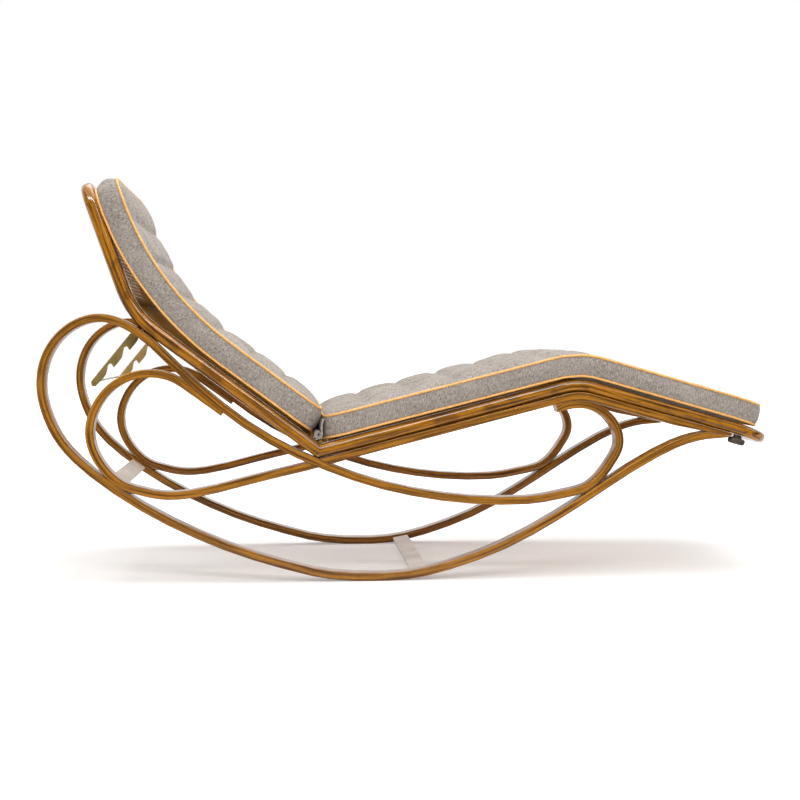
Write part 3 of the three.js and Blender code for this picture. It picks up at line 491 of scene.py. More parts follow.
@dataclass(frozen=True)
class Finish:
    """What every finish of the chaise has: its name, its relief and how it shines."""

    name: str
    relief: float
    metallic: float = 0.0
    coat: float = 0.0
    coat_roughness: float = 0.1
    sheen: float = 0.0
    specular: float = 0.5

    def _place(self, g: Graph) -> bpy.types.NodeSocket:
        """Return the object's own coordinates, in metres."""
        return g.node("TexCoord").outputs["Object"]

    def _pattern(self, effects: Effects) -> tuple[bpy.types.NodeTree, dict[str, object]]:
        """Return the shared group of this finish and its values."""
        raise NotImplementedError

    def material(self, effects: Effects) -> bpy.types.Material:
        """Build the material.

        Args:
            effects: The shared shader groups.

        Returns:
            The finished material.
        """
        made = bpy.data.materials.new(self.name)
        made.use_nodes = True
        g = Graph(made.node_tree)
        shader = made.node_tree.nodes["Principled BSDF"]
        for socket, value in (
            ("Metallic", self.metallic),
            ("Coat Weight", self.coat),
            ("Coat Roughness", self.coat_roughness),
            ("Sheen Weight", self.sheen),
            ("Sheen Roughness", 0.4),
            ("Specular IOR Level", self.specular),
        ):
            shader.inputs[socket].default_value = value
        tree, values = self._pattern(effects)
        pattern = g.node("Group", node_tree=tree)
        g.feed(pattern.inputs["Place"], self._place(g))
        for key, value in values.items():
            g.feed(pattern.inputs[key], value)
        height = pattern.outputs["Height"]
        bump = g.node("Bump", {"Height": height, "Distance": self.relief, "Strength": 0.6})
        g.feed(shader.inputs["Base Color"], pattern.outputs["Color"])
        g.feed(shader.inputs["Roughness"], pattern.outputs["Roughness"])
        g.feed(shader.inputs["Normal"], bump.outputs["Normal"])
        return made


@dataclass(frozen=True)
class Wood(Finish):
    """Lacquered wood whose grain follows the piece."""

    light: tuple[float, ...] = linear(186, 124, 34)
    dark: tuple[float, ...] = linear(92, 56, 12)
    figure: float = 0.3
    layers: float = 0.0
    layer_tone: float = 0.0

    def _place(self, g: Graph) -> bpy.types.NodeSocket:
        """Read the grain coordinates of the piece."""
        return g.node("Attribute", attribute_name="grain").outputs["Vector"]

    def _pattern(self, effects: Effects) -> tuple[bpy.types.NodeTree, dict[str, object]]:
        """Return the grain and its values."""
        values = {
            "Light": self.light,
            "Dark": self.dark,
            "Figure": self.figure,
            "Layers per metre": self.layers,
            "Layer tone": self.layer_tone,
        }
        return effects.grain, values


@dataclass(frozen=True)
class Cloth(Finish):
    """Flecked cloth that reads the piece's own UV map."""

    light: tuple[float, ...] = linear(200, 194, 184)
    middle: tuple[float, ...] = linear(150, 140, 132)
    dark: tuple[float, ...] = linear(84, 76, 72)
    threads: float = 650.0

    def _place(self, g: Graph) -> bpy.types.NodeSocket:
        """Read the cut of the cloth, in metres."""
        return g.node("UVMap", uv_map="cut").outputs["UV"]

    def _pattern(self, effects: Effects) -> tuple[bpy.types.NodeTree, dict[str, object]]:
        """Return the weave and its values."""
        values = {
            "Light": self.light,
            "Middle": self.middle,
            "Dark": self.dark,
            "Threads per metre": self.threads,
        }
        return effects.yarn, values


@dataclass(frozen=True)
class Blotched(Finish):
    """A finish of two close colours in soft blotches, such as aged metal, rubber or paint."""

    low: tuple[float, ...] = linear(90, 80, 40)
    high: tuple[float, ...] = linear(180, 150, 80)
    per_metre: float = 60.0
    gloss: float = 0.3
    matt: float = 0.55

    def _pattern(self, effects: Effects) -> tuple[bpy.types.NodeTree, dict[str, object]]:
        """Return the blotches and their values."""
        values = {
            "Low": self.low,
            "High": self.high,
            "Per metre": self.per_metre,
            "Smooth": self.gloss,
            "Rough": self.matt,
        }
        return effects.mottle, values


class Palette:
    """Every material of the chaise, by the part of it that wears it."""

    FINISHES: dict[str, Finish] = {
        "strip": Wood(
            "strip_lacquer", relief=0.0001, coat=0.5, coat_roughness=0.08, specular=0.2,
            light=linear(186, 124, 34), dark=linear(92, 56, 12), figure=0.15,
            layers=260.0, layer_tone=0.45,
        ),
        "rail": Wood(
            "rail_lacquer", relief=0.0001, coat=1.0, coat_roughness=0.05, specular=0.2,
            light=linear(186, 120, 10), dark=linear(74, 42, 4), figure=0.5,
        ),
        "cross": Wood(
            "cross_rail_lacquer", relief=0.0001, coat=0.4, coat_roughness=0.15,
            light=linear(182, 120, 26), dark=linear(90, 52, 8), figure=0.4,
        ),
        "cane": Blotched(
            "cane_straw", relief=0.0001, specular=0.1, gloss=0.4, matt=0.6,
            low=linear(208, 146, 56), high=linear(240, 190, 100), per_metre=45.0,
        ),
        "brass": Blotched(
            "aged_brass", relief=0.0001, metallic=0.7, gloss=0.25, matt=0.42,
            low=linear(146, 124, 66), high=linear(220, 190, 120), per_metre=30.0,
        ),
        # A lighter copy of the brass, worn by the far rack alone: painted light, standing in for
        # the light that falls on that rack.
        "bright_brass": Blotched(
            "brass_with_painted_light", relief=0.0001, metallic=0.5, gloss=0.25, matt=0.42,
            low=linear(196, 164, 92), high=linear(244, 218, 152), per_metre=30.0,
        ),
        # Near-white colour of the tie rod: pale metal, with a painted reflection of the white
        # surroundings.
        "rod": Blotched(
            "rod_with_painted_reflection", relief=0.00005, metallic=0.3, gloss=0.15, matt=0.3,
            low=linear(222, 216, 204), high=linear(244, 240, 232), per_metre=60.0,
        ),
        "steel": Blotched(
            "bolt_steel", relief=0.00005, metallic=1.0, gloss=0.25, matt=0.45,
            low=linear(150, 148, 142), high=linear(206, 203, 196), per_metre=220.0,
        ),
        "slat": Blotched(
            "slat_paint", relief=0.00005, gloss=0.32, matt=0.45,
            low=linear(243, 236, 228), high=linear(252, 247, 241), per_metre=12.0,
        ),
        "tweed": Cloth("tweed", relief=0.0009, sheen=0.2, specular=0.1),
        "piping": Blotched(
            "piping_tan", relief=0.0002, gloss=0.38, matt=0.6,
            low=linear(224, 156, 74), high=linear(252, 198, 118), per_metre=300.0,
        ),
        "rubber": Blotched(
            "bumper_rubber", relief=0.0003, gloss=0.45, matt=0.75,
            low=linear(50, 38, 30), high=linear(92, 74, 60), per_metre=120.0,
        ),
    }

    def __init__(self) -> None:
        """Build the shared effects, then each material."""
        effects = Effects()
        self.materials = {part: finish.material(effects) for part, finish in self.FINISHES.items()}

    def __getitem__(self, part: str) -> bpy.types.Material:
        """Return the material of a part."""
        return self.materials[part]


@dataclass(frozen=True)
class Lamp:
    """A rectangular softbox."""

    name: str
    place: tuple[float, float, float]
    target: tuple[float, float, float]
    size: tuple[float, float]
    watts: float
    gleam_only: bool = False

    def hang(self) -> None:
        """Hang the softbox and turn it to its target."""
        data = bpy.data.lights.new(self.name, "AREA")
        data.shape = "RECTANGLE"
        data.size, data.size_y = self.size
        data.energy = self.watts
        lamp = bpy.data.objects.new(self.name, data)
        lamp.location = self.place
        way = Vector(self.target) - Vector(self.place)
        lamp.rotation_euler = way.to_track_quat("-Z", "Y").to_euler()
        lamp.visible_diffuse = not self.gleam_only
        bpy.context.scene.collection.objects.link(lamp)


@dataclass
class Studio:
    """The photograph's camera, a white floor and soft lamps."""

    LAMPS = (
        Lamp("top_softbox", (0.1, 0.1, 2.9), (0.0, 0.0, 0.4), (3.4, 1.8), 66.0),
        Lamp("front_strip", (-0.6, -2.6, 2.5), (0.0, 0.0, 0.4), (3.2, 0.25), 26.0),
        Lamp("foot_softbox", (3.2, -1.2, 1.9), (0.2, 0.0, 0.4), (1.2, 1.6), 10.0),
        Lamp("gleam_strip", (-0.3, -2.5, 2.3), (0.0, 0.0, 0.4), (3.8, 0.6), 80.0, gleam_only=True),
    )

    camera_place: tuple[float, float, float] = (-0.3037, -3.2822, 0.5708)
    yaw_degrees: float = 5.1739
    pitch_degrees: float = 2.6269
    lens_mm: float = 56.655
    sensor_mm: float = 36.0
    floor_size: float = 40.0
    world_level: float = 0.78
    front_level: float = 0.04
    floor_lift: float = 0.3
    far_lift: float = 0.75
    lift_from: float = 0.8
    lift_to: float = 4.0

    def build(self) -> None:
        """Build the whole studio."""
        self._camera()
        self._world()
        self._floor()
        for lamp in self.LAMPS:
            lamp.hang()
        bpy.context.scene.view_settings.view_transform = "Standard"

    def _camera(self) -> None:
        """Place the camera of the photograph."""
        data = bpy.data.cameras.new("camera")
        data.lens = self.lens_mm
        data.sensor_width = self.sensor_mm
        data.clip_start, data.clip_end = 0.05, 100.0
        camera = bpy.data.objects.new("camera", data)
        camera.location = self.camera_place
        tilt = math.radians(90 - self.pitch_degrees)
        camera.rotation_euler = (tilt, 0.0, -math.radians(self.yaw_degrees))
        bpy.context.scene.collection.objects.link(camera)
        bpy.context.scene.camera = camera

    def _world(self) -> None:
        """Light the scene from all round, with white behind it and a dim room before it."""
        world = bpy.data.worlds.new("studio")
        world.use_nodes = True
        bpy.context.scene.world = world
        g = Graph(world.node_tree)
        back = world.node_tree.nodes["Background"]
        path = g.node("LightPath")
        way = g.node("SeparateXYZ", {0: g.node("TexCoord").outputs["Generated"]})
        behind = g.ramp(way.outputs["Y"], -0.25, 0.35)
        above = g.ramp(way.outputs["Z"], 0.3, 0.85)
        mirrored = g.ramp(g.math("MAXIMUM", behind, above), 0.0, 1.0, (self.front_level, 1.0))
        level = self._choose(g, path.outputs["Is Glossy Ray"], mirrored, self.world_level)
        level = self._choose(g, path.outputs["Is Camera Ray"], 1.0, level)
        back.inputs["Color"].default_value = (1.0, 1.0, 1.0, 1.0)
        g.feed(back.inputs["Strength"], level)

    @staticmethod
    def _choose(g: Graph, test: object, yes: object, no: object) -> bpy.types.NodeSocket:
        """Choose between two values.

        Args:
            g: The graph to add to.
            test: A socket that is 1 or 0.
            yes: The value where it is 1.
            no: The value where it is 0.

        Returns:
            The chosen value.
        """
        made = g.node("Mix", data_type="FLOAT")
        for name, value in (("Factor", test), ("A", no), ("B", yes)):
            g.feed(made.inputs[name], value)
        return made.outputs["Result"]

    def _floor(self) -> None:
        """Lay a pale floor that keeps the shadow and meets the white behind it."""
        bpy.ops.object.select_all(action="DESELECT")
        bpy.ops.mesh.primitive_plane_add(size=self.floor_size, location=(0.0, 0.0, 0.0))
        floor = bpy.context.object
        floor.name = "floor"
        made = bpy.data.materials.new("floor_white")
        made.use_nodes = True
        g = Graph(made.node_tree)
        shader = made.node_tree.nodes["Principled BSDF"]
        shader.inputs["Roughness"].default_value = 0.9
        shader.inputs["Specular IOR Level"].default_value = 0.1
        path = g.node("LightPath")
        place = g.node("TexCoord").outputs["Object"]
        away = g.node("VectorMath", {0: place}, operation="LENGTH").outputs["Value"]
        lift = g.ramp(away, self.lift_from, self.lift_to, (self.floor_lift, self.far_lift))
        shader.inputs["Emission Color"].default_value = (1.0, 1.0, 1.0, 1.0)
        seen = g.math("MULTIPLY", path.outputs["Is Camera Ray"], lift)
        g.feed(shader.inputs["Emission Strength"], seen)
        before = g.ramp(g.node("SeparateXYZ", {0: place}).outputs["Y"], -1.4, -0.4, (0.9, 0.0))
        dim = g.math("MULTIPLY", before, path.outputs["Is Glossy Ray"])
        g.feed(shader.inputs["Base Color"], g.mix(dim, linear(232, 231, 230), linear(60, 58, 56)))
        floor.data.materials.append(made)


class Path:
    """A line through points, with the distance along it."""

    CROSSWISE = 0.3

    def __init__(self, points: list[Vector], step: float = 0.008) -> None:
        """Resample the points evenly.

        Args:
            points: The points of the line, in order.
            step: The distance between the samples.
        """
        rough = np.array([tuple(p) for p in points])
        gaps = np.linalg.norm(np.diff(rough, axis=0), axis=1)
        keep = np.concatenate([[True], gaps > MERGE])
        rough = rough[keep]
        reach = np.concatenate([[0.0], np.cumsum(np.linalg.norm(np.diff(rough, axis=0), axis=1))])
        count = max(int(reach[-1] / step), 2)
        self.along = np.linspace(0.0, reach[-1], count + 1)
        self.points = np.stack([np.interp(self.along, reach, column) for column in rough.T], axis=1)
        self.tangents = np.gradient(self.points, self.along, axis=0)
        self.tangents /= np.linalg.norm(self.tangents, axis=1)[:, None]

    @property
    def length(self) -> float:
        """The whole length."""
        return float(self.along[-1])

    def at(self, distance: float) -> Vector:
        """Find a point of the line, which goes straight on past its ends.

        Args:
            distance: The distance along the line.

        Returns:
            The point.
        """
        inside = min(max(distance, 0.0), self.length)
        point = Vector([float(np.interp(inside, self.along, self.points[:, k])) for k in range(3)])
        if distance < 0:
            return point + Vector(self.tangents[0]) * distance
        if distance > self.length:
            return point + Vector(self.tangents[-1]) * (distance - self.length)
        return point

    def nearest(self, point: np.ndarray, first: int, last: int) -> int:
        """Find the sample nearest to a point.

        Args:
            point: The point.
            first: The first sample to look at.
            last: The sample to stop before.

        Returns:
            The number of the nearest sample.
        """
        first, last = max(first, 0), min(last, len(self.along))
        apart = np.linalg.norm(self.points[first:last] - point, axis=1)
        return first + int(np.argmin(apart))

    def grain_at(self, point: np.ndarray, sample: int) -> tuple[float, float, float]:
        """Return the distance along the line and the two offsets from it.

        Args:
            point: A point of the piece.
            sample: The nearest sample.

        Returns:
            The distance along, the offset up through the layers, and the offset across.
        """
        tangent = self.tangents[sample]
        offset = point - self.points[sample]
        slide = float(offset @ tangent)
        turned = abs(tangent[1]) > self.CROSSWISE
        across = np.array([-tangent[1], tangent[0], 0.0] if turned else [0.0, 1.0, 0.0])
        across = across / np.linalg.norm(across)
        above = np.cross(tangent, across)
        return float(self.along[sample]) + slide, float(offset @ above), float(offset @ across)


def write_grain(piece: bpy.types.Object, path: Path, reach: int | None = None) -> None:
    """Write the grain coordinates of a piece that follows a line.

    Args:
        piece: The finished object.
        path: The line of its middle.
        reach: How many samples two neighbouring corners may lie apart, or None to look everywhere.
    """
    mesh = piece.data
    places = np.array([v.co[:] for v in mesh.vertices])
    samples = np.full(len(places), -1)
    if reach is None:
        samples[:] = [path.nearest(place, 0, len(path.along)) for place in places]
    else:
        neighbours: list[list[int]] = [[] for _ in places]
        for edge in mesh.edges:
            a, b = edge.vertices
            neighbours[a].append(b)
            neighbours[b].append(a)
        start = int(np.argmin(np.linalg.norm(places - path.points[0], axis=1)))
        samples[start] = 0
        queue = deque([start])
        while queue:
            here = queue.popleft()
            for other in neighbours[here]:
                if samples[other] < 0:
                    apart = np.linalg.norm(places[other] - places[here])
                    span = reach + int(apart / (path.along[1] * 0.8))
                    around = samples[here] - span, samples[here] + span
                    samples[other] = path.nearest(places[other], *around)
                    queue.append(other)
    grain = [path.grain_at(p, max(int(s), 0)) for p, s in zip(places, samples)]
    attribute = mesh.attributes.new("grain", "FLOAT_VECTOR", "POINT")
    attribute.data.foreach_set("vector", np.array(grain, dtype=np.float32).ravel())


def band_line(piece: bpy.types.Object, side_y: float) -> list[Vector]:
    """Follow the flat side of a bent strip from end to end.

    Args:
        piece: A welded copy of the strip.
        side_y: The Y of its flat side.

    Returns:
        Points along the middle of that side.
    """
    mesh = bmesh.new()
    mesh.from_mesh(piece.data)
    band = {
        f.index: f
        for f in mesh.faces
        if abs(f.normal.y) > SIDEWAYS and abs(f.calc_center_median().y - side_y) < SIDE_READING
    }

    def spread(origin: int) -> tuple[list[int], dict[int, tuple[int, Vector]]]:
        """Walk over the band from one face to all others.

        Args:
            origin: The face to start from.

        Returns:
            The faces in the order of the walk, and for each the one before it and the place
            of the step between them.
        """
        came: dict[int, tuple[int, Vector]] = {origin: (-1, band[origin].calc_center_median())}
        order = [origin]
        queue = deque([origin])
        while queue:
            here = queue.popleft()
            for edge in band[here].edges:
                for face in edge.link_faces:
                    if face.index in band and face.index not in came:
                        came[face.index] = (here, (edge.verts[0].co + edge.verts[1].co) / 2)
                        order.append(face.index)
                        queue.append(face.index)
        return order, came

    groups: list[list[int]] = []
    left = set(band)
    while left:
        order, _ = spread(min(left))
        groups.append(order)
        left -= set(order)
    order = max(groups, key=len)
    far_end = spread(order[0])[0][-1]
    order, came = spread(far_end)
    here = order[-1]
    points = [band[here].calc_center_median()]
    while here >= 0:
        here, middle = came[here]
        points.append(middle.copy())
    mesh.free()
    middles = [(points[i] + points[i + 1]) / 2 for i in range(len(points) - 1)]
    return [points[0], *middles, points[-1]]


def side_line(points: np.ndarray, heading: Vector, bins: int) -> list[Vector]:
    """Find the middle line of a bent rail in the side view.

    Args:
        points: The corners of the rail, in the row frame.
        heading: The rough direction of the rail.
        bins: Into how many stretches it is cut.

    Returns:
        Points along its middle, at Y = 0.
    """
    along = points @ np.array(heading)
    above_axis = np.array(heading.cross(ACROSS))
    above = points @ above_axis
    edges = np.linspace(along.min(), along.max(), bins + 1)
    line = []
    for low, high in zip(edges[:-1], edges[1:]):
        inside = (along >= low) & (along <= high)
        if inside.sum() >= 4:
            middle = (above[inside].min() + above[inside].max()) / 2
            centre = (along[inside].min() + along[inside].max()) / 2
            line.append(heading * float(centre) + Vector(above_axis) * float(middle))
    return line


@dataclass
class BentStrips:
    """The laminated runner and scroll strips of both sides."""

    frame: dict
    palette: Palette
    crease_degrees: float = 50.0
    reach: int = 4

    def build(self) -> None:
        """Dress the four strips with grain that follows their bends."""
        for side in Side:
            for kind in ("runner", "scroll"):
                node = f"{kind}_{side.name}"
                piece = node_copy(self.frame, node, f"{kind}_strip_{side.name}")
                low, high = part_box(node)
                outer, inner = (low.y, high.y) if side is Side.near else (high.y, low.y)
                line = band_line(piece, outer if kind == "runner" else inner)
                middle_y = (low.y + high.y) / 2
                smooth(piece, self.crease_degrees)
                path = Path([Vector((p.x, middle_y, p.z)) for p in line])
                write_grain(piece, path, self.reach)
                settle(piece, self.palette["strip"], Body.BASE, "strip_wood", node)


@dataclass
class BentFrames:
    """The bentwood frames of the seat and the back, with their cross rails."""

    frame: dict
    palette: Palette
    rail_width: float = 0.042
    mitre_gap: float = 0.0003
    crease_degrees: float = 55.0
    line_cuts: int = 14
    corner_share: float = 0.3
    end_facing: float = 0.7
    end_lean: float = 0.01
    end_depth: float = 0.012

    def build(self) -> None:
        """Dress both frames and the four cross rails."""
        seat_heading = Vector((1.0, 0.0, 0.0))
        low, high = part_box("back_frame")
        back_heading = Vector((low.x - high.x, 0.0, high.z - low.z)).normalized()
        self.headings = {"seat_frame": seat_heading, "back_frame": back_heading}
        self._frame("seat_frame", "seat_rail", seat_heading, Body.BASE)
        self._frame("back_frame", "back_rail", back_heading, Body.BACK)
        for node, body in (
            ("seat_rear_rail", Body.BASE),
            ("seat_knee_rail", Body.BASE),
            ("back_bottom_rail", Body.BACK),
            ("back_mid_rail", Body.BACK),
        ):
            self._cross_rail(node, body)

    def _frame(self, node: str, name: str, heading: Vector, body: Body) -> None:
        """Dress one U-shaped frame.

        Args:
            node: The CAD node.
            name: The name of the new piece.
            heading: The way from the hinge to the closed end.
            body: The body that it rides on.
        """
        piece = node_copy(self.frame, node, name)
        self._mitre(piece, node, heading)
        places = np.array([v.co[:] for v in piece.data.vertices])
        half = float(np.abs(places[:, 1]).max()) - self.rail_width / 2
        near = places[np.abs(places[:, 1] + half) < self.rail_width / 2]
        line = side_line(near, heading, self.line_cuts)
        last, before = line[-1], line[-3]
        end = last - (last - before).normalized() * self.rail_width * self.corner_share
        near_line = [Vector((p.x, -half, p.z)) for p in [*line[:-1], end]]
        far_line = [Vector((p.x, half, p.z)) for p in near_line]
        smooth(piece, self.crease_degrees)
        write_grain(piece, Path([*near_line, *reversed(far_line)]))
        settle(piece, self.palette["rail"], body, "rail_wood", node)

    def _end_face(self, node: str, heading: Vector) -> tuple[list[Vector], Vector]:
        """Find the square ends of a frame by the hinge.

        Args:
            node: The CAD node.
            heading: The way from the hinge to the closed end.

        Returns:
            The places of their corners, and the way that the rails leave them.
        """
        mesh = self.frame["nodes"][node].data
        ends = [
            p
            for p in mesh.polygons
            if p.normal.dot(heading) < -self.end_facing and abs(p.normal.y) < self.end_lean
        ]
        nearest = min(p.center.dot(heading) for p in ends)
        ends = [p for p in ends if p.center.dot(heading) < nearest + self.end_depth]
        corners = [mesh.vertices[v].co.copy() for p in ends for v in p.vertices]
        return corners, -ends[0].normal.normalized()

    def _mitre(self, piece: bpy.types.Object, node: str, heading: Vector) -> None:
        """Let the rails of a frame run on over its hinge leaves, up to the mitre.

        Args:
            piece: The copy of the frame.
            node: The CAD node that it copies.
            heading: The way from the hinge to the closed end.
        """
        corners, way = self._end_face(node, heading)
        ways = [self._end_face(frame, onward)[1] for frame, onward in self.headings.items()]
        half_way = sum(ways, Vector()).normalized()
        inward = (way - half_way * way.dot(half_way)).normalized()
        low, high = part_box("hinge_pin_near")
        axis = (low + high) / 2
        for vertex in piece.data.vertices:
            if min((vertex.co - c).length for c in corners) < MERGE * 5:
                over = (vertex.co - axis).dot(inward) - self.mitre_gap
                vertex.co -= way * (over / way.dot(inward))
        piece.data.update()

    def _cross_rail(self, node: str, body: Body) -> None:
        """Dress one straight rail that runs from side to side.

        Args:
            node: The CAD node.
            body: The body that it rides on.
        """
        piece = node_copy(self.frame, node, f"{node}_wood")
        low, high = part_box(node)
        middle = (low + high) / 2
        ends = [Vector((middle.x, y, middle.z)) for y in (low.y, high.y)]
        smooth(piece, self.crease_degrees)
        write_grain(piece, Path(ends))
        settle(piece, self.palette["cross"], body, "rail_wood", node)


@dataclass
class CanePanel:
    """One open cane panel: paired strands both ways and single strands on both diagonals."""

    frame: dict
    palette: Palette
    node: str
    body: Body
    heading: Vector
    pitch: float = 0.0095
    pair_gap: float = 0.0026
    strand_width: float = 0.0014
    strand_height: float = 0.0002
    layer_rise: float = 0.00008
    line_cuts: int = 12
    bend_step: float = 0.03

    def build(self) -> None:
        """Weave the flat panel, trim it and bend it to the frame."""
        source = self.frame["nodes"][self.node]
        places = np.array([v.co[:] for v in source.data.vertices])
        low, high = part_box(self.node)
        points = side_line(places, self.heading, self.line_cuts)
        along = places @ np.array(self.heading)
        first = self._reach(points[0], points[1] - points[0], along.min())
        last = self._reach(points[-1], points[-1] - points[-2], along.max())
        line = Path([first, *points[1:-1], last], step=0.02)
        piece = self._weave(line.length, low.y, high.y)
        self._bend(piece, line)
        settle(piece, self.palette["cane"], self.body, "cane", self.node)

    def _reach(self, point: Vector, way: Vector, target: float) -> Vector:
        """Run a line on to an edge of the panel.

        Args:
            point: The line's last point.
            way: Its direction there.
            target: How far along the heading the edge lies.

        Returns:
            The point on the edge.
        """
        way = way.normalized()
        return point + way * ((target - point.dot(self.heading)) / way.dot(self.heading))

    def _strand(self, length: float, place: Vector, turn: float) -> bpy.types.Object:
        """Add one long strand as a flat bar.

        Args:
            length: Its length.
            place: Its middle.
            turn: Its angle to the panel's length, in radians.

        Returns:
            The strand.
        """
        bpy.ops.object.select_all(action="DESELECT")
        bpy.ops.mesh.primitive_cube_add(size=1.0, location=place, rotation=(0.0, 0.0, turn))
        strand = bpy.context.object
        strand.scale = (length, self.strand_width, self.strand_height)
        bpy.ops.object.transform_apply(location=True, rotation=True, scale=True)
        return strand

    def _repeat(self, strand: bpy.types.Object, offset: Vector, count: int) -> bpy.types.Object:
        """Repeat a strand at an even spacing.

        Args:
            strand: The strand.
            offset: From one to the next.
            count: How many there are in all.

        Returns:
            The strands, as one object.
        """
        modifier = strand.modifiers.new("repeat", "ARRAY")
        modifier.use_relative_offset = False
        modifier.use_constant_offset = True
        modifier.constant_offset_displace = offset
        modifier.count = count
        apply_modifiers(strand)
        return strand

    def _weave(self, length: float, low_y: float, high_y: float) -> bpy.types.Object:
        """Lay all strands flat, X along the panel and Y across it.

        Args:
            length: The length of the panel.
            low_y: Its near edge.
            high_y: Its far edge.

        Returns:
            The flat panel, cut to its outline.
        """
        width = high_y - low_y
        rows = int(width / self.pitch) - 1
        columns = int(length / self.pitch)
        first_x, first_y = self.pitch / 2, -(rows - 1) * self.pitch / 2
        made = []
        for shift in (-self.pair_gap / 2, self.pair_gap / 2):
            place = Vector((length / 2, first_y + shift, -self.layer_rise))
            strand = self._strand(length, place, 0.0)
            made.append(self._repeat(strand, Vector((0, self.pitch, 0)), rows))
            strand = self._strand(width, Vector((first_x + shift, 0.0, 0.0)), math.pi / 2)
            made.append(self._repeat(strand, Vector((self.pitch, 0, 0)), columns))
        span = (width + length) * math.sqrt(2)
        count = int((width + length) / self.pitch) + 1
        for turn, layer in ((1, 1), (-1, 2)):
            cross = (first_x - turn * first_y + self.pitch / 2 + width / 2) % self.pitch - width / 2
            place = Vector((cross, 0.0, layer * self.layer_rise))
            strand = self._strand(span, place, turn * math.pi / 4)
            made.append(self._repeat(strand, Vector((self.pitch, 0, 0)), count))
        bpy.ops.object.select_all(action="DESELECT")
        for strand in made:
            strand.select_set(True)
        panel = made[0]
        bpy.context.view_layer.objects.active = panel
        bpy.ops.object.join()
        panel.name = f"{self.node}_weave"
        self._trim(panel, length, low_y, high_y)
        return panel

    def _trim(self, panel: bpy.types.Object, length: float, low_y: float, high_y: float) -> None:
        """Cut the strands off at the panel's four edges, and across wherever they may bend.

        Args:
            panel: The joined strands.
            length: The length of the panel.
            low_y: Its near edge.
            high_y: Its far edge.
        """
        cuts = max(int(length / self.bend_step), 1)
        with editing(panel):
            for place, normal in (
                ((0, 0, 0), (-1, 0, 0)),
                ((length, 0, 0), (1, 0, 0)),
                ((0, low_y, 0), (0, -1, 0)),
                ((0, high_y, 0), (0, 1, 0)),
            ):
                bpy.ops.mesh.select_all(action="SELECT")
                bpy.ops.mesh.bisect(
                    plane_co=place, plane_no=normal, clear_outer=True, use_fill=False
                )
                bpy.ops.mesh.select_all(action="SELECT")
                bpy.ops.mesh.fill_holes(sides=8)
            for k in range(1, cuts):
                bpy.ops.mesh.select_all(action="SELECT")
                bpy.ops.mesh.bisect(plane_co=(length * k / cuts, 0, 0), plane_no=(1, 0, 0))

    def _bend(self, panel: bpy.types.Object, line: Path) -> None:
        """Lay the flat panel on its line.

        Args:
            panel: The flat panel.
            line: The line, from the panel's first edge to its last.
        """
        for vertex in panel.data.vertices:
            base = line.at(vertex.co.x)
            ahead = (line.at(vertex.co.x + 0.01) - line.at(vertex.co.x - 0.01)).normalized()
            above = ahead.cross(ACROSS)
            above = above if above.z > 0 or abs(above.z) < 1e-6 else -above
            vertex.co = Vector((base.x, vertex.co.y, base.z)) + above * vertex.co.z
        panel.data.update()


@dataclass
class Hardware:
    """Metal and rubber fittings."""

    frame: dict
    palette: Palette
    rack_edge: float = 0.0005
    rod_edge: float = 0.0008
    slat_edge: float = 0.0012
    edge_degrees: float = 40.0
    bolts: tuple[str, ...] = ("foot", "loop", "rocker", "curl", "rear")

    def build(self) -> None:
        """Dress the slats, rods, racks, hinges, bolts and the bumper."""
        for node in ("rear_stretcher", "front_stretcher"):
            paint = self.palette["slat"]
            self._eased(node, f"{node}_slat", paint, Body.BASE, "slat_metal", self.slat_edge)
        brass = self.palette["brass"]
        self._eased("catch_rod", "catch_rod_brass", brass, Body.BASE, "brass", self.rod_edge)
        for side in Side:
            rack = f"rack_{side.name}"
            # The far rack wears the lighter copy of the brass, which has painted light in its
            # colour; the near rack wears the plain brass.
            shine = brass if side is Side.near else self.palette["bright_brass"]
            self._eased(rack, f"notched_{rack}", shine, Body.RACKS, "brass", self.rack_edge)
            for name in self.bolts:
                self._dress(f"bolt_{name}_{side.name}", self.palette["steel"])
            for name in ("hinge_seat_leaf", "hinge_back_leaf", "hinge_pin", "rack_screw"):
                self._dress(f"{name}_{side.name}", brass)
        self._dress("rack_tie_rod", self.palette["rod"])
        self._bumper()

    def _dress(self, node: str, material: bpy.types.Material) -> None:
        """Give a CAD node its material.

        Args:
            node: The CAD node.
            material: Its finish.
        """
        piece = self.frame["nodes"][node]
        piece.data.materials.clear()
        piece.data.materials.append(material)

    def _eased(
        self,
        node: str,
        name: str,
        material: bpy.types.Material,
        body: Body,
        slot: str,
        width: float,
    ) -> None:
        """Replace a node by a copy with rounded edges.

        Args:
            node: The CAD node.
            name: The new piece's name.
            material: Its finish.
            body: The body that it rides on.
            slot: The record's slot.
            width: The width of the rounded edges.
        """
        piece = node_copy(self.frame, node, name)
        with editing(piece):
            bpy.ops.mesh.dissolve_limited(angle_limit=math.radians(1))
        bevel = piece.modifiers.new("eased", "BEVEL")
        bevel.width = width
        bevel.segments = 3
        bevel.angle_limit = math.radians(self.edge_degrees)
        apply_modifiers(piece)
        smooth(piece, self.edge_degrees)
        settle(piece, material, body, slot, node)

    def _bumper(self) -> None:
        """Round the rubber bumper under the foot end."""
        piece = node_copy(self.frame, "foot_bumper", "rubber_bumper")
        rounding = piece.modifiers.new("round", "SUBSURF")
        rounding.levels = rounding.render_levels = 2
        apply_modifiers(piece)
        smooth(piece, 60, weighted=False)
        settle(piece, self.palette["rubber"], Body.BASE, "rubber", "foot_bumper")


def smooth_step(value: float, start: float, width: float) -> float:
    """Return 0 before the start of a stretch, 1 past its end, and a smooth rise between them."""
    share = min(max((value - start) / width, 0.0), 1.0)
    return share * share * (3 - 2 * share)


def near_bell(distance: float, reach: float) -> float:
    """Return 1 at no distance, falling off smoothly over a reach."""
    return math.exp(-((distance / reach) ** 2))


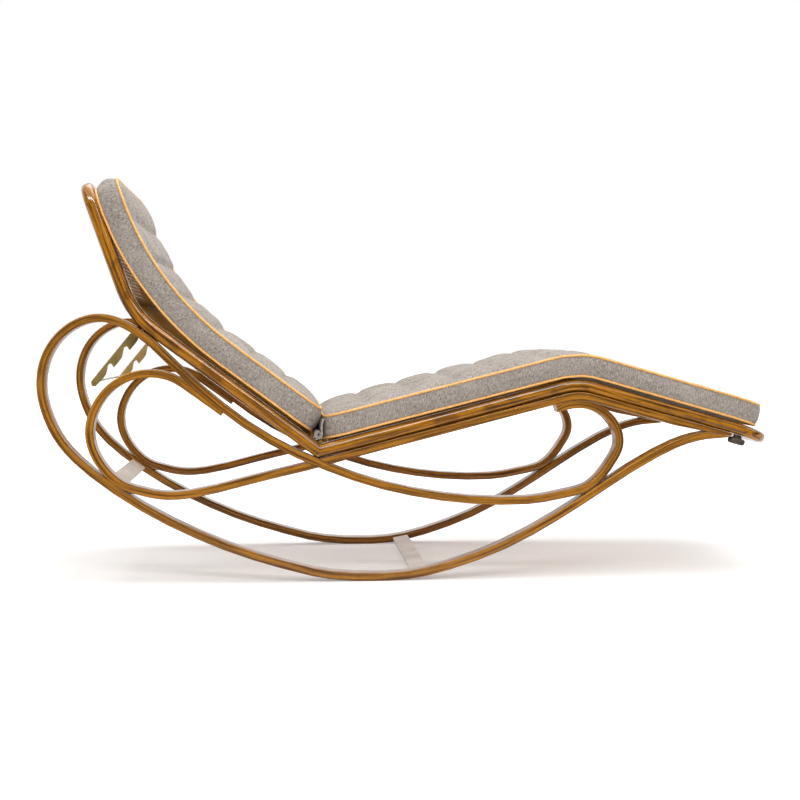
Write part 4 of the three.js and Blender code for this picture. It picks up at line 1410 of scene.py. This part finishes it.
@dataclass
class Sewing:
    """The points and faces of a cushion's shell while it is laid out."""

    points: list[Vector] = field(default_factory=list)
    cut: list[tuple[float, float]] = field(default_factory=list)
    caps: list[float] = field(default_factory=list)
    pinned: list[int] = field(default_factory=list)
    faces: list[tuple[int, ...]] = field(default_factory=list)
    face_cut: list[list[tuple[float, float]]] = field(default_factory=list)

    def point(
        self, place: Vector, cut: tuple[float, float], cap: float, pinned: bool = False
    ) -> int:
        """Add a point.

        Args:
            place: Where it is.
            cut: Its place on the cloth.
            cap: How far it may swell.
            pinned: Whether it is sewn down.

        Returns:
            The number of the point.
        """
        self.points.append(place)
        self.cut.append(cut)
        self.caps.append(cap)
        number = len(self.points) - 1
        if pinned:
            self.pinned.append(number)
        return number

    def face(self, corners: tuple[int, ...], cut: list[tuple[float, float]] | None = None) -> None:
        """Add a face, with its place on the cloth where the corners' own doesn't hold."""
        self.faces.append(corners)
        self.face_cut.append(cut or [self.cut[k] for k in corners])

    def flip(self) -> None:
        """Turn every face round."""
        self.faces = [face[::-1] for face in self.faces]
        self.face_cut = [corners[::-1] for corners in self.face_cut]

    def piece(self, name: str) -> bpy.types.Object:
        """Make the shell.

        Args:
            name: The name of the object.

        Returns:
            The shell, with its cut as a UV map and its sewn points in a vertex group.
        """
        made = mesh_piece(name, self.points, self.faces)
        uv = made.data.uv_layers.new(name="cut")
        flat = [c for corners in self.face_cut for c in corners]
        uv.data.foreach_set("uv", np.array(flat, dtype=np.float32).ravel())
        made.vertex_groups.new(name="pinned").add(self.pinned, 1.0, "REPLACE")
        return made


@dataclass
class BoxCushion:
    """A boxed cushion with piped seams and rows of sewn tufts."""

    frame: dict
    palette: Palette
    node: str
    body: Body
    heading: Vector
    outward: Vector

    # The box, and the spacing of the shell's points
    corner: float = 0.055
    corner_steps: int = 6
    bulge: float = 0.003
    end_belly: float = 0.009
    far_belly: float = 0.009
    lower_reach: float = 0.0
    upper_reach: float = 0.0
    upper_start: float = 0.0
    grid: float = 0.0095
    wall_rows: int = 6
    seam_reading: float = 0.0004

    # The crown of the top. A flat end has none past the knee
    crown: float = 0.004
    crown_reach: float = 0.13
    crown_roundness: float = 0.75
    flat_end: float = 0.0
    flat_from: float = 0.44
    flat_over: float = 0.18

    # Tufts, the creases between them, and the soft folds of the cloth
    columns: int = 4
    row_pitch: float = 0.108
    tuft_depth: float = 0.01
    tuft_size: tuple[float, float] = (0.022, 0.026)
    crease_depth: tuple[float, float] = (0.004, 0.003)
    crease_size: tuple[float, float] = (0.012, 0.01)
    tuft_share_at_end: float = 0.5
    tuft_edge: float = 0.04
    pin_edge: float = 0.03
    pin_share: float = 0.8
    fold_depth: float = 0.0042
    fold_pitch: float = 0.031

    # The stuffing
    pressure: float = 2.2
    growth: float = 0.04
    frames: int = 18
    cap: float = 0.022
    cap_cut_at_end: float = 0.8

    piping_radius: float = 0.0029
    give: float = 0.99

    def build(self) -> None:
        """Build the cushion and both lines of piping."""
        self._read_lines()
        piece = self._shell()
        self._stuff(piece)
        rounding = piece.modifiers.new("round", "SUBSURF")
        rounding.levels = rounding.render_levels = 1
        apply_modifiers(piece)
        pick(piece)
        bpy.ops.object.shade_smooth()
        settle(piece, self.palette["tweed"], self.body, "tweed", self.node)
        pieces = [piece]
        for name, loop in (("lower", self.lower_loop), ("upper", self.upper_loop)):
            pieces.append(self._piping(f"{self.node}_piping_{name}", loop))
        far_end = self.lower.at(self.lower.length)
        for soft in pieces:
            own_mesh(soft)

    def _read_lines(self) -> None:
        """Read the lower and the upper seam line from the CAD cushion."""
        copy = node_copy(self.frame, self.node, "seam_probe")
        places = np.array([v.co[:] for v in copy.data.vertices])
        normals = np.array([v.normal[:] for v in copy.data.vertices])
        self.half = float(np.abs(places[:, 1]).max())
        upward = normals @ np.array(self.outward) > 0
        seam_y = self.half - self.bulge
        end_y = (self.half - self.corner) * seam_y / self.half
        lines = []
        for side in (False, True):
            seams = []
            for y in (seam_y, end_y):
                seam = places[(np.abs(places[:, 1] + y) < self.seam_reading) & (upward == side)]
                seams.append(seam[np.argsort(seam @ np.array(self.heading))])
            long_seam, end_seam = seams
            whole = [Vector((p[0], 0.0, p[2])) for p in (end_seam[0], *long_seam, end_seam[-1])]
            onward = (whole[-1] - whole[-2]).normalized()
            whole[-1] = whole[-1] + onward * (self.upper_reach if side else self.lower_reach)
            backward = (whole[0] - whole[1]).normalized()
            whole[0] = whole[0] + backward * (self.upper_start if side else 0.0)
            lines.append(Path(whole, step=0.004))
        self.lower, self.upper = lines
        bpy.data.objects.remove(copy)

    def _at(self, share: float, y: float, height_share: float) -> Vector:
        """Return a point of the box by its shares.

        Args:
            share: From 0 at the hinge end to 1 at the other.
            y: The place across.
            height_share: 0 at the lower seam, 1 at the upper.

        Returns:
            The point in the row frame.
        """
        low = self.lower.at(share * self.lower.length)
        high = self.upper.at(share * self.upper.length)
        point = low + (high - low) * height_share
        return Vector((point.x, y, point.z))

    def _half_at(self, distance: float) -> float:
        """Return the half width at a distance from the nearer end."""
        inside = max(self.corner - distance, 0.0)
        return self.half - self.corner + math.sqrt(max(self.corner**2 - inside**2, 0.0))

    def _stations(self, length: float) -> list[float]:
        """Space the rows of points, closer together at the round corners.

        Args:
            length: The length of the cushion.

        Returns:
            The distance of each row from the hinge end.
        """
        quarter = math.pi / 2 / self.corner_steps
        near = [self.corner * (1 - math.cos(quarter * k)) for k in range(self.corner_steps + 1)]
        straight = length - 2 * self.corner
        count = int(straight / self.grid)
        middle = [self.corner + straight * k / count for k in range(1, count)]
        return [*near, *middle, *[length - d for d in reversed(near)]]

    def _shell(self) -> bpy.types.Object:
        """Lay out the closed shell before it is stuffed.

        Returns:
            The shell, with its sewn points in a vertex group.
        """
        length = (self.lower.length + self.upper.length) / 2
        height = (self.upper.at(length / 2) - self.lower.at(length / 2)).length
        distances = self._stations(length)
        count = 2 * int(self.half / self.grid) + 1
        shares = [2 * j / (count - 1) - 1 for j in range(count)]
        sewing = Sewing()
        top = self._top(sewing, distances, shares, length, height)
        bottom = {}
        for i, d in enumerate(distances):
            half = self._half_at(min(d, length - d))
            for j, share in enumerate(shares):
                place = self._at(d / length, share * half, 0.0)
                bottom[i, j] = sewing.point(place, (d, share * half), self.cap, pinned=True)
        for i in range(len(distances) - 1):
            for j in range(count - 1):
                square = (i, j), (i + 1, j), (i + 1, j + 1), (i, j + 1)
                sewing.face(tuple(top[key] for key in square))
                sewing.face(tuple(bottom[key] for key in (square[0], *reversed(square[1:]))))
        last_i, last_j = len(distances) - 1, count - 1
        ring = [(i, 0) for i in range(last_i)] + [(last_i, j) for j in range(last_j)]
        ring += [(i, last_j) for i in range(last_i, 0, -1)] + [(0, j) for j in range(last_j, 0, -1)]
        bellies = [{0: self.end_belly, last_i: self.far_belly}.get(i, self.bulge) for i, _ in ring]
        low_ring, high_ring = [bottom[key] for key in ring], [top[key] for key in ring]
        self.lower_loop = [sewing.points[k].copy() for k in low_ring]
        self.upper_loop = [sewing.points[k].copy() for k in high_ring]
        self._wall(sewing, low_ring, high_ring, bellies, height)
        if self._turn() < 0:
            sewing.flip()
        self.caps = np.array(sewing.caps)
        return sewing.piece(f"{self.node}_tweed")

    def _top(
        self,
        sewing: Sewing,
        distances: list[float],
        shares: list[float],
        length: float,
        height: float,
    ) -> dict[tuple[int, int], int]:
        """Lay out the crowned and tufted top.

        Args:
            sewing: What the points go to.
            distances: The distance of each row from the hinge end.
            shares: The place of each column across, from -1 to 1.
            length: The length of the cushion.
            height: Its height at the seams.

        Returns:
            The number of each point, by row and column.
        """
        rows = max(round(length / self.row_pitch), 1)
        pitch = length / rows
        column_gap = 2 * self.half / (self.columns + 1)
        tuft_y = [column_gap * (k - (self.columns - 1) / 2) for k in range(self.columns)]
        tuft_x = [pitch * k for k in range(1, rows)]
        top = {}
        for i, d in enumerate(distances):
            from_end = min(d, length - d)
            half = self._half_at(from_end)
            later = smooth_step(d / length, self.flat_from, self.flat_over) * self.flat_end
            near_x = min((abs(d - x) for x in tuft_x), default=1.0)
            for j, share in enumerate(shares):
                y = share * half
                edge = min(from_end, half - abs(y))
                near_y = min(abs(y - t) for t in tuft_y)
                rise = self._rise(d, y, edge, later, (near_x, near_y), pitch)
                tufted = math.hypot(near_x, near_y) < self.grid * self.pin_share
                pinned = (tufted and edge > self.pin_edge) or edge < MERGE
                cap = self.cap * (1 - self.cap_cut_at_end * later)
                place = self._at(d / length, y, 1.0 + rise / height)
                top[i, j] = sewing.point(place, (d, y), cap, pinned)
        return top

    def _rise(
        self,
        d: float,
        y: float,
        edge: float,
        later: float,
        near: tuple[float, float],
        pitch: float,
    ) -> float:
        """Return the height of the top over the upper seam.

        Args:
            d: The distance from the hinge end.
            y: The place across.
            edge: The distance to the nearest seam.
            later: How far the flat end has begun, from 0 to 1.
            near: The distance to the nearest row and column of tufts.
            pitch: The spacing of the rows.

        Returns:
            The height.
        """
        fade = math.sin(math.pi / 2 * min(edge / self.crown_reach, 1.0)) ** self.crown_roundness
        sewn = self.tuft_depth
        for distance, size in zip(near, self.tuft_size):
            sewn *= near_bell(distance, size)
        for distance, depth, size in zip(near, self.crease_depth, self.crease_size):
            sewn += depth * near_bell(distance, size)
        sewn *= min(edge / self.tuft_edge, 1.0) * (1 - self.tuft_share_at_end * later)
        folds = self._fold(d, y, near[0] / pitch)
        return (self.crown * (1 - later) + folds) * fade - sewn

    def _fold(self, along: float, y: float, from_row: float) -> float:
        """Return the height of the soft lengthwise folds between two rows of tufts.

        Args:
            along: The distance from the hinge end.
            y: The place across.
            from_row: The distance to the nearest row, in row pitches.

        Returns:
            The height, up or down.
        """
        drift = noise.noise(Vector((along * 7, y * 9, 2.0))) * 2.2
        strength = 0.6 + 0.8 * noise.noise(Vector((along * 11, y * 6, 7.0)))
        wave = math.sin(2 * math.pi * y / self.fold_pitch + drift)
        return self.fold_depth * strength * wave * math.sin(math.pi * min(from_row, 0.5))

    def _wall(
        self,
        sewing: Sewing,
        low_ring: list[int],
        high_ring: list[int],
        bellies: list[float],
        height: float,
    ) -> None:
        """Sew the side wall between the two seams.

        Args:
            sewing: What the points and faces go to.
            low_ring: The points of the lower seam, in order.
            high_ring: The points of the upper seam.
            bellies: How far the wall stands out at each of them.
            height: The height of the wall.
        """
        seam = [sewing.points[k] for k in low_ring]
        size = len(seam)
        run = [0.0]
        for k in range(size):
            run.append(run[-1] + (seam[k] - seam[(k + 1) % size]).length)
        ways = []
        for k in range(size):
            ahead = (seam[(k + 1) % size] - seam[k - 1]).normalized()
            ways.append(ahead.cross(self.outward).normalized() * self._turn())
        previous = low_ring
        for row in range(1, self.wall_rows + 1):
            share = row / self.wall_rows
            current = high_ring
            if row < self.wall_rows:
                current = []
                for k in range(size):
                    middle = seam[k].lerp(sewing.points[high_ring[k]], share)
                    belly = bellies[k] * 4 * share * (1 - share)
                    current.append(sewing.point(middle + ways[k] * belly, (0.0, 0.0), self.cap))
            low_v, high_v = (row - 1) / self.wall_rows * height, share * height
            for k in range(size):
                n = (k + 1) % size
                cut = [(run[k], low_v), (run[k + 1], low_v), (run[k + 1], high_v), (run[k], high_v)]
                sewing.face((previous[k], previous[n], current[n], current[k]), cut)
            previous = current

    def _turn(self) -> float:
        """Return 1 where the seams run round the outside as seen from above, or else -1."""
        return -math.copysign(1.0, self.heading.cross(self.outward).y)

    def _stuff(self, piece: bpy.types.Object) -> None:
        """Swell the shell against its pinned seams and tufts.

        Args:
            piece: The shell.
        """
        before = np.array([v.co[:] for v in piece.data.vertices])
        modifier = piece.modifiers.new("stuffing", "CLOTH")
        for name, value in {
            "quality": 4,
            "mass": 0.3,
            "tension_stiffness": 12.0,
            "compression_stiffness": 12.0,
            "shear_stiffness": 4.0,
            "bending_stiffness": 0.6,
            "use_pressure": True,
            "uniform_pressure_force": self.pressure,
            "vertex_group_mass": "pinned",
            "pin_stiffness": 1.0,
            "shrink_min": -self.growth,
        }.items():
            setattr(modifier.settings, name, value)
        modifier.settings.effector_weights.gravity = 0.0
        modifier.collision_settings.use_collision = False
        modifier.point_cache.frame_start = 1
        modifier.point_cache.frame_end = self.frames
        scene = bpy.context.scene
        for number in range(1, self.frames + 1):
            scene.frame_set(number)
        evaluated = piece.evaluated_get(bpy.context.evaluated_depsgraph_get())
        after = np.array([v.co[:] for v in evaluated.data.vertices])
        piece.modifiers.remove(modifier)
        scene.frame_set(1)
        move = after - before
        far = np.linalg.norm(move, axis=1)
        share = np.where(far > self.caps, self.caps / np.maximum(far, 1e-9), 1.0)
        placed = before + move * share[:, None]
        piece.data.vertices.foreach_set("co", placed.astype(np.float32).ravel())
        piece.data.update()
        log.info("%s swelled by up to %.1f mm", piece.name, far.max() * 1000)

    def _piping(self, name: str, loop: list[Vector]) -> bpy.types.Object:
        """Sew a covered cord round a seam.

        Args:
            name: The name of the piping.
            loop: The points of the seam, in order.

        Returns:
            The piping.
        """
        data = bpy.data.curves.new(name, "CURVE")
        data.dimensions = "3D"
        data.bevel_depth = self.piping_radius
        data.bevel_resolution = 3
        spline = data.splines.new("POLY")
        spline.points.add(len(loop) - 1)
        for point, place in zip(spline.points, loop):
            point.co = (*place, 1.0)
        spline.use_cyclic_u = True
        curve = bpy.data.objects.new(name, data)
        bpy.context.scene.collection.objects.link(curve)
        pick(curve)
        bpy.ops.object.convert(target="MESH")
        piece = bpy.context.object
        bpy.ops.object.shade_smooth()
        return settle(piece, self.palette["piping"], self.body, "tweed")


@dataclass
class ClothRoll:
    """The roll of cloth that closes the gap between the two cushions."""

    frame: dict
    palette: Palette
    node: str = "cushion_flap"
    thickness: float = 0.0042
    layer: float = 0.98
    radius: float = 0.0118
    turns: float = 1.75
    tail: tuple[tuple[float, float], ...] = ((0.0125, 0.036), (0.0095, 0.026), (0.0085, 0.014))
    shift: float = 0.0035
    waviness: float = 0.036
    slices: int = 48
    steps: int = 40

    def build(self) -> None:
        """Wind the roll and lay it across the chaise."""
        low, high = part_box(self.node)
        centre = (low + high) / 2 - Vector((self.shift, 0.0, self.shift))
        outline = self._outline()
        points, faces, cut = [], [], []
        for k in range(self.slices + 1):
            y = low.y + (high.y - low.y) * k / self.slices
            for along, (x, z) in outline:
                size = 1 + self.waviness * noise.noise(Vector((x * 40, y * 14, z * 40)))
                points.append(Vector((centre.x + x * size, y, centre.z + z * size)))
                cut.append((y, along))
        around = len(outline)
        for k in range(self.slices):
            for i in range(around):
                j = (i + 1) % around
                here, there = k * around, (k + 1) * around
                faces.append((here + i, here + j, there + j, there + i))
        faces.append(tuple(reversed(range(around))))
        faces.append(tuple(range(self.slices * around, (self.slices + 1) * around)))
        piece = mesh_piece("cloth_roll", points, faces)
        uv = piece.data.uv_layers.new(name="cut")
        for face in piece.data.polygons:
            for corner, vertex in zip(face.loop_indices, face.vertices):
                uv.data[corner].uv = cut[vertex]
        with editing(piece):
            bpy.ops.mesh.normals_make_consistent(inside=False)
        smooth(piece, 60, weighted=False)
        settle(piece, self.palette["tweed"], Body.BASE, "tweed", self.node)

    def _outline(self) -> list[tuple[float, tuple[float, float]]]:
        """Return the section of the rolled cloth, with the distance along the cloth.

        Returns:
            The distance along and the place of each corner, in order round the section.
        """
        middle = [Vector(point) for point in self.tail]
        for i in range(self.steps + 1):
            angle = 2 * math.pi * self.turns * i / self.steps
            far = self.radius - self.thickness * (0.5 + self.layer * angle / (2 * math.pi))
            way = Vector((math.cos(angle), -math.sin(angle)))
            middle.append(way * max(far, self.thickness * 0.3))
        left, right, run = [], [], 0.0
        for i, point in enumerate(middle):
            ahead = middle[min(i + 1, len(middle) - 1)] - middle[max(i - 1, 0)]
            side = Vector((-ahead.y, ahead.x)).normalized() * self.thickness / 2
            run += (point - middle[max(i - 1, 0)]).length
            left.append((run, tuple(point + side)))
            right.append((run, tuple(point - side)))
        return left + right[::-1]


def main() -> None:
    """Build the studio, then every part of the chaise."""
    logging.basicConfig(level=logging.INFO, format="%(name)s: %(message)s")
    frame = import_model()
    bpy.ops.object.select_all(action="DESELECT")
    Studio().build()
    palette = Palette()
    BentStrips(frame, palette).build()
    BentFrames(frame, palette).build()
    seat_way = Vector((1.0, 0.0, 0.0))
    low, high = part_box("back_frame")
    back_way = Vector((low.x - high.x, 0.0, high.z - low.z)).normalized()
    for node, body, way in (
        ("seat_cane_rear", Body.BASE, seat_way),
        ("seat_cane_front", Body.BASE, seat_way),
        ("back_cane_lower", Body.BACK, back_way),
        ("back_cane_upper", Body.BACK, back_way),
    ):
        CanePanel(frame, palette, node, body, way).build()
    Hardware(frame, palette).build()
    BoxCushion(
        frame, palette, "seat_cushion", Body.BASE, seat_way, UP, crown=0.009, flat_end=1.0,
        lower_reach=0.014, upper_reach=0.008, upper_start=0.018,
    ).build()
    back_out = Vector((back_way.z, 0.0, -back_way.x))
    BoxCushion(
        frame, palette, "back_cushion", Body.BACK, back_way, back_out,
        lower_reach=0.013, upper_reach=0.022, far_belly=0.012, give=0.972,
    ).build()
    ClothRoll(frame, palette).build()


if __name__ == "__main__":
    main()
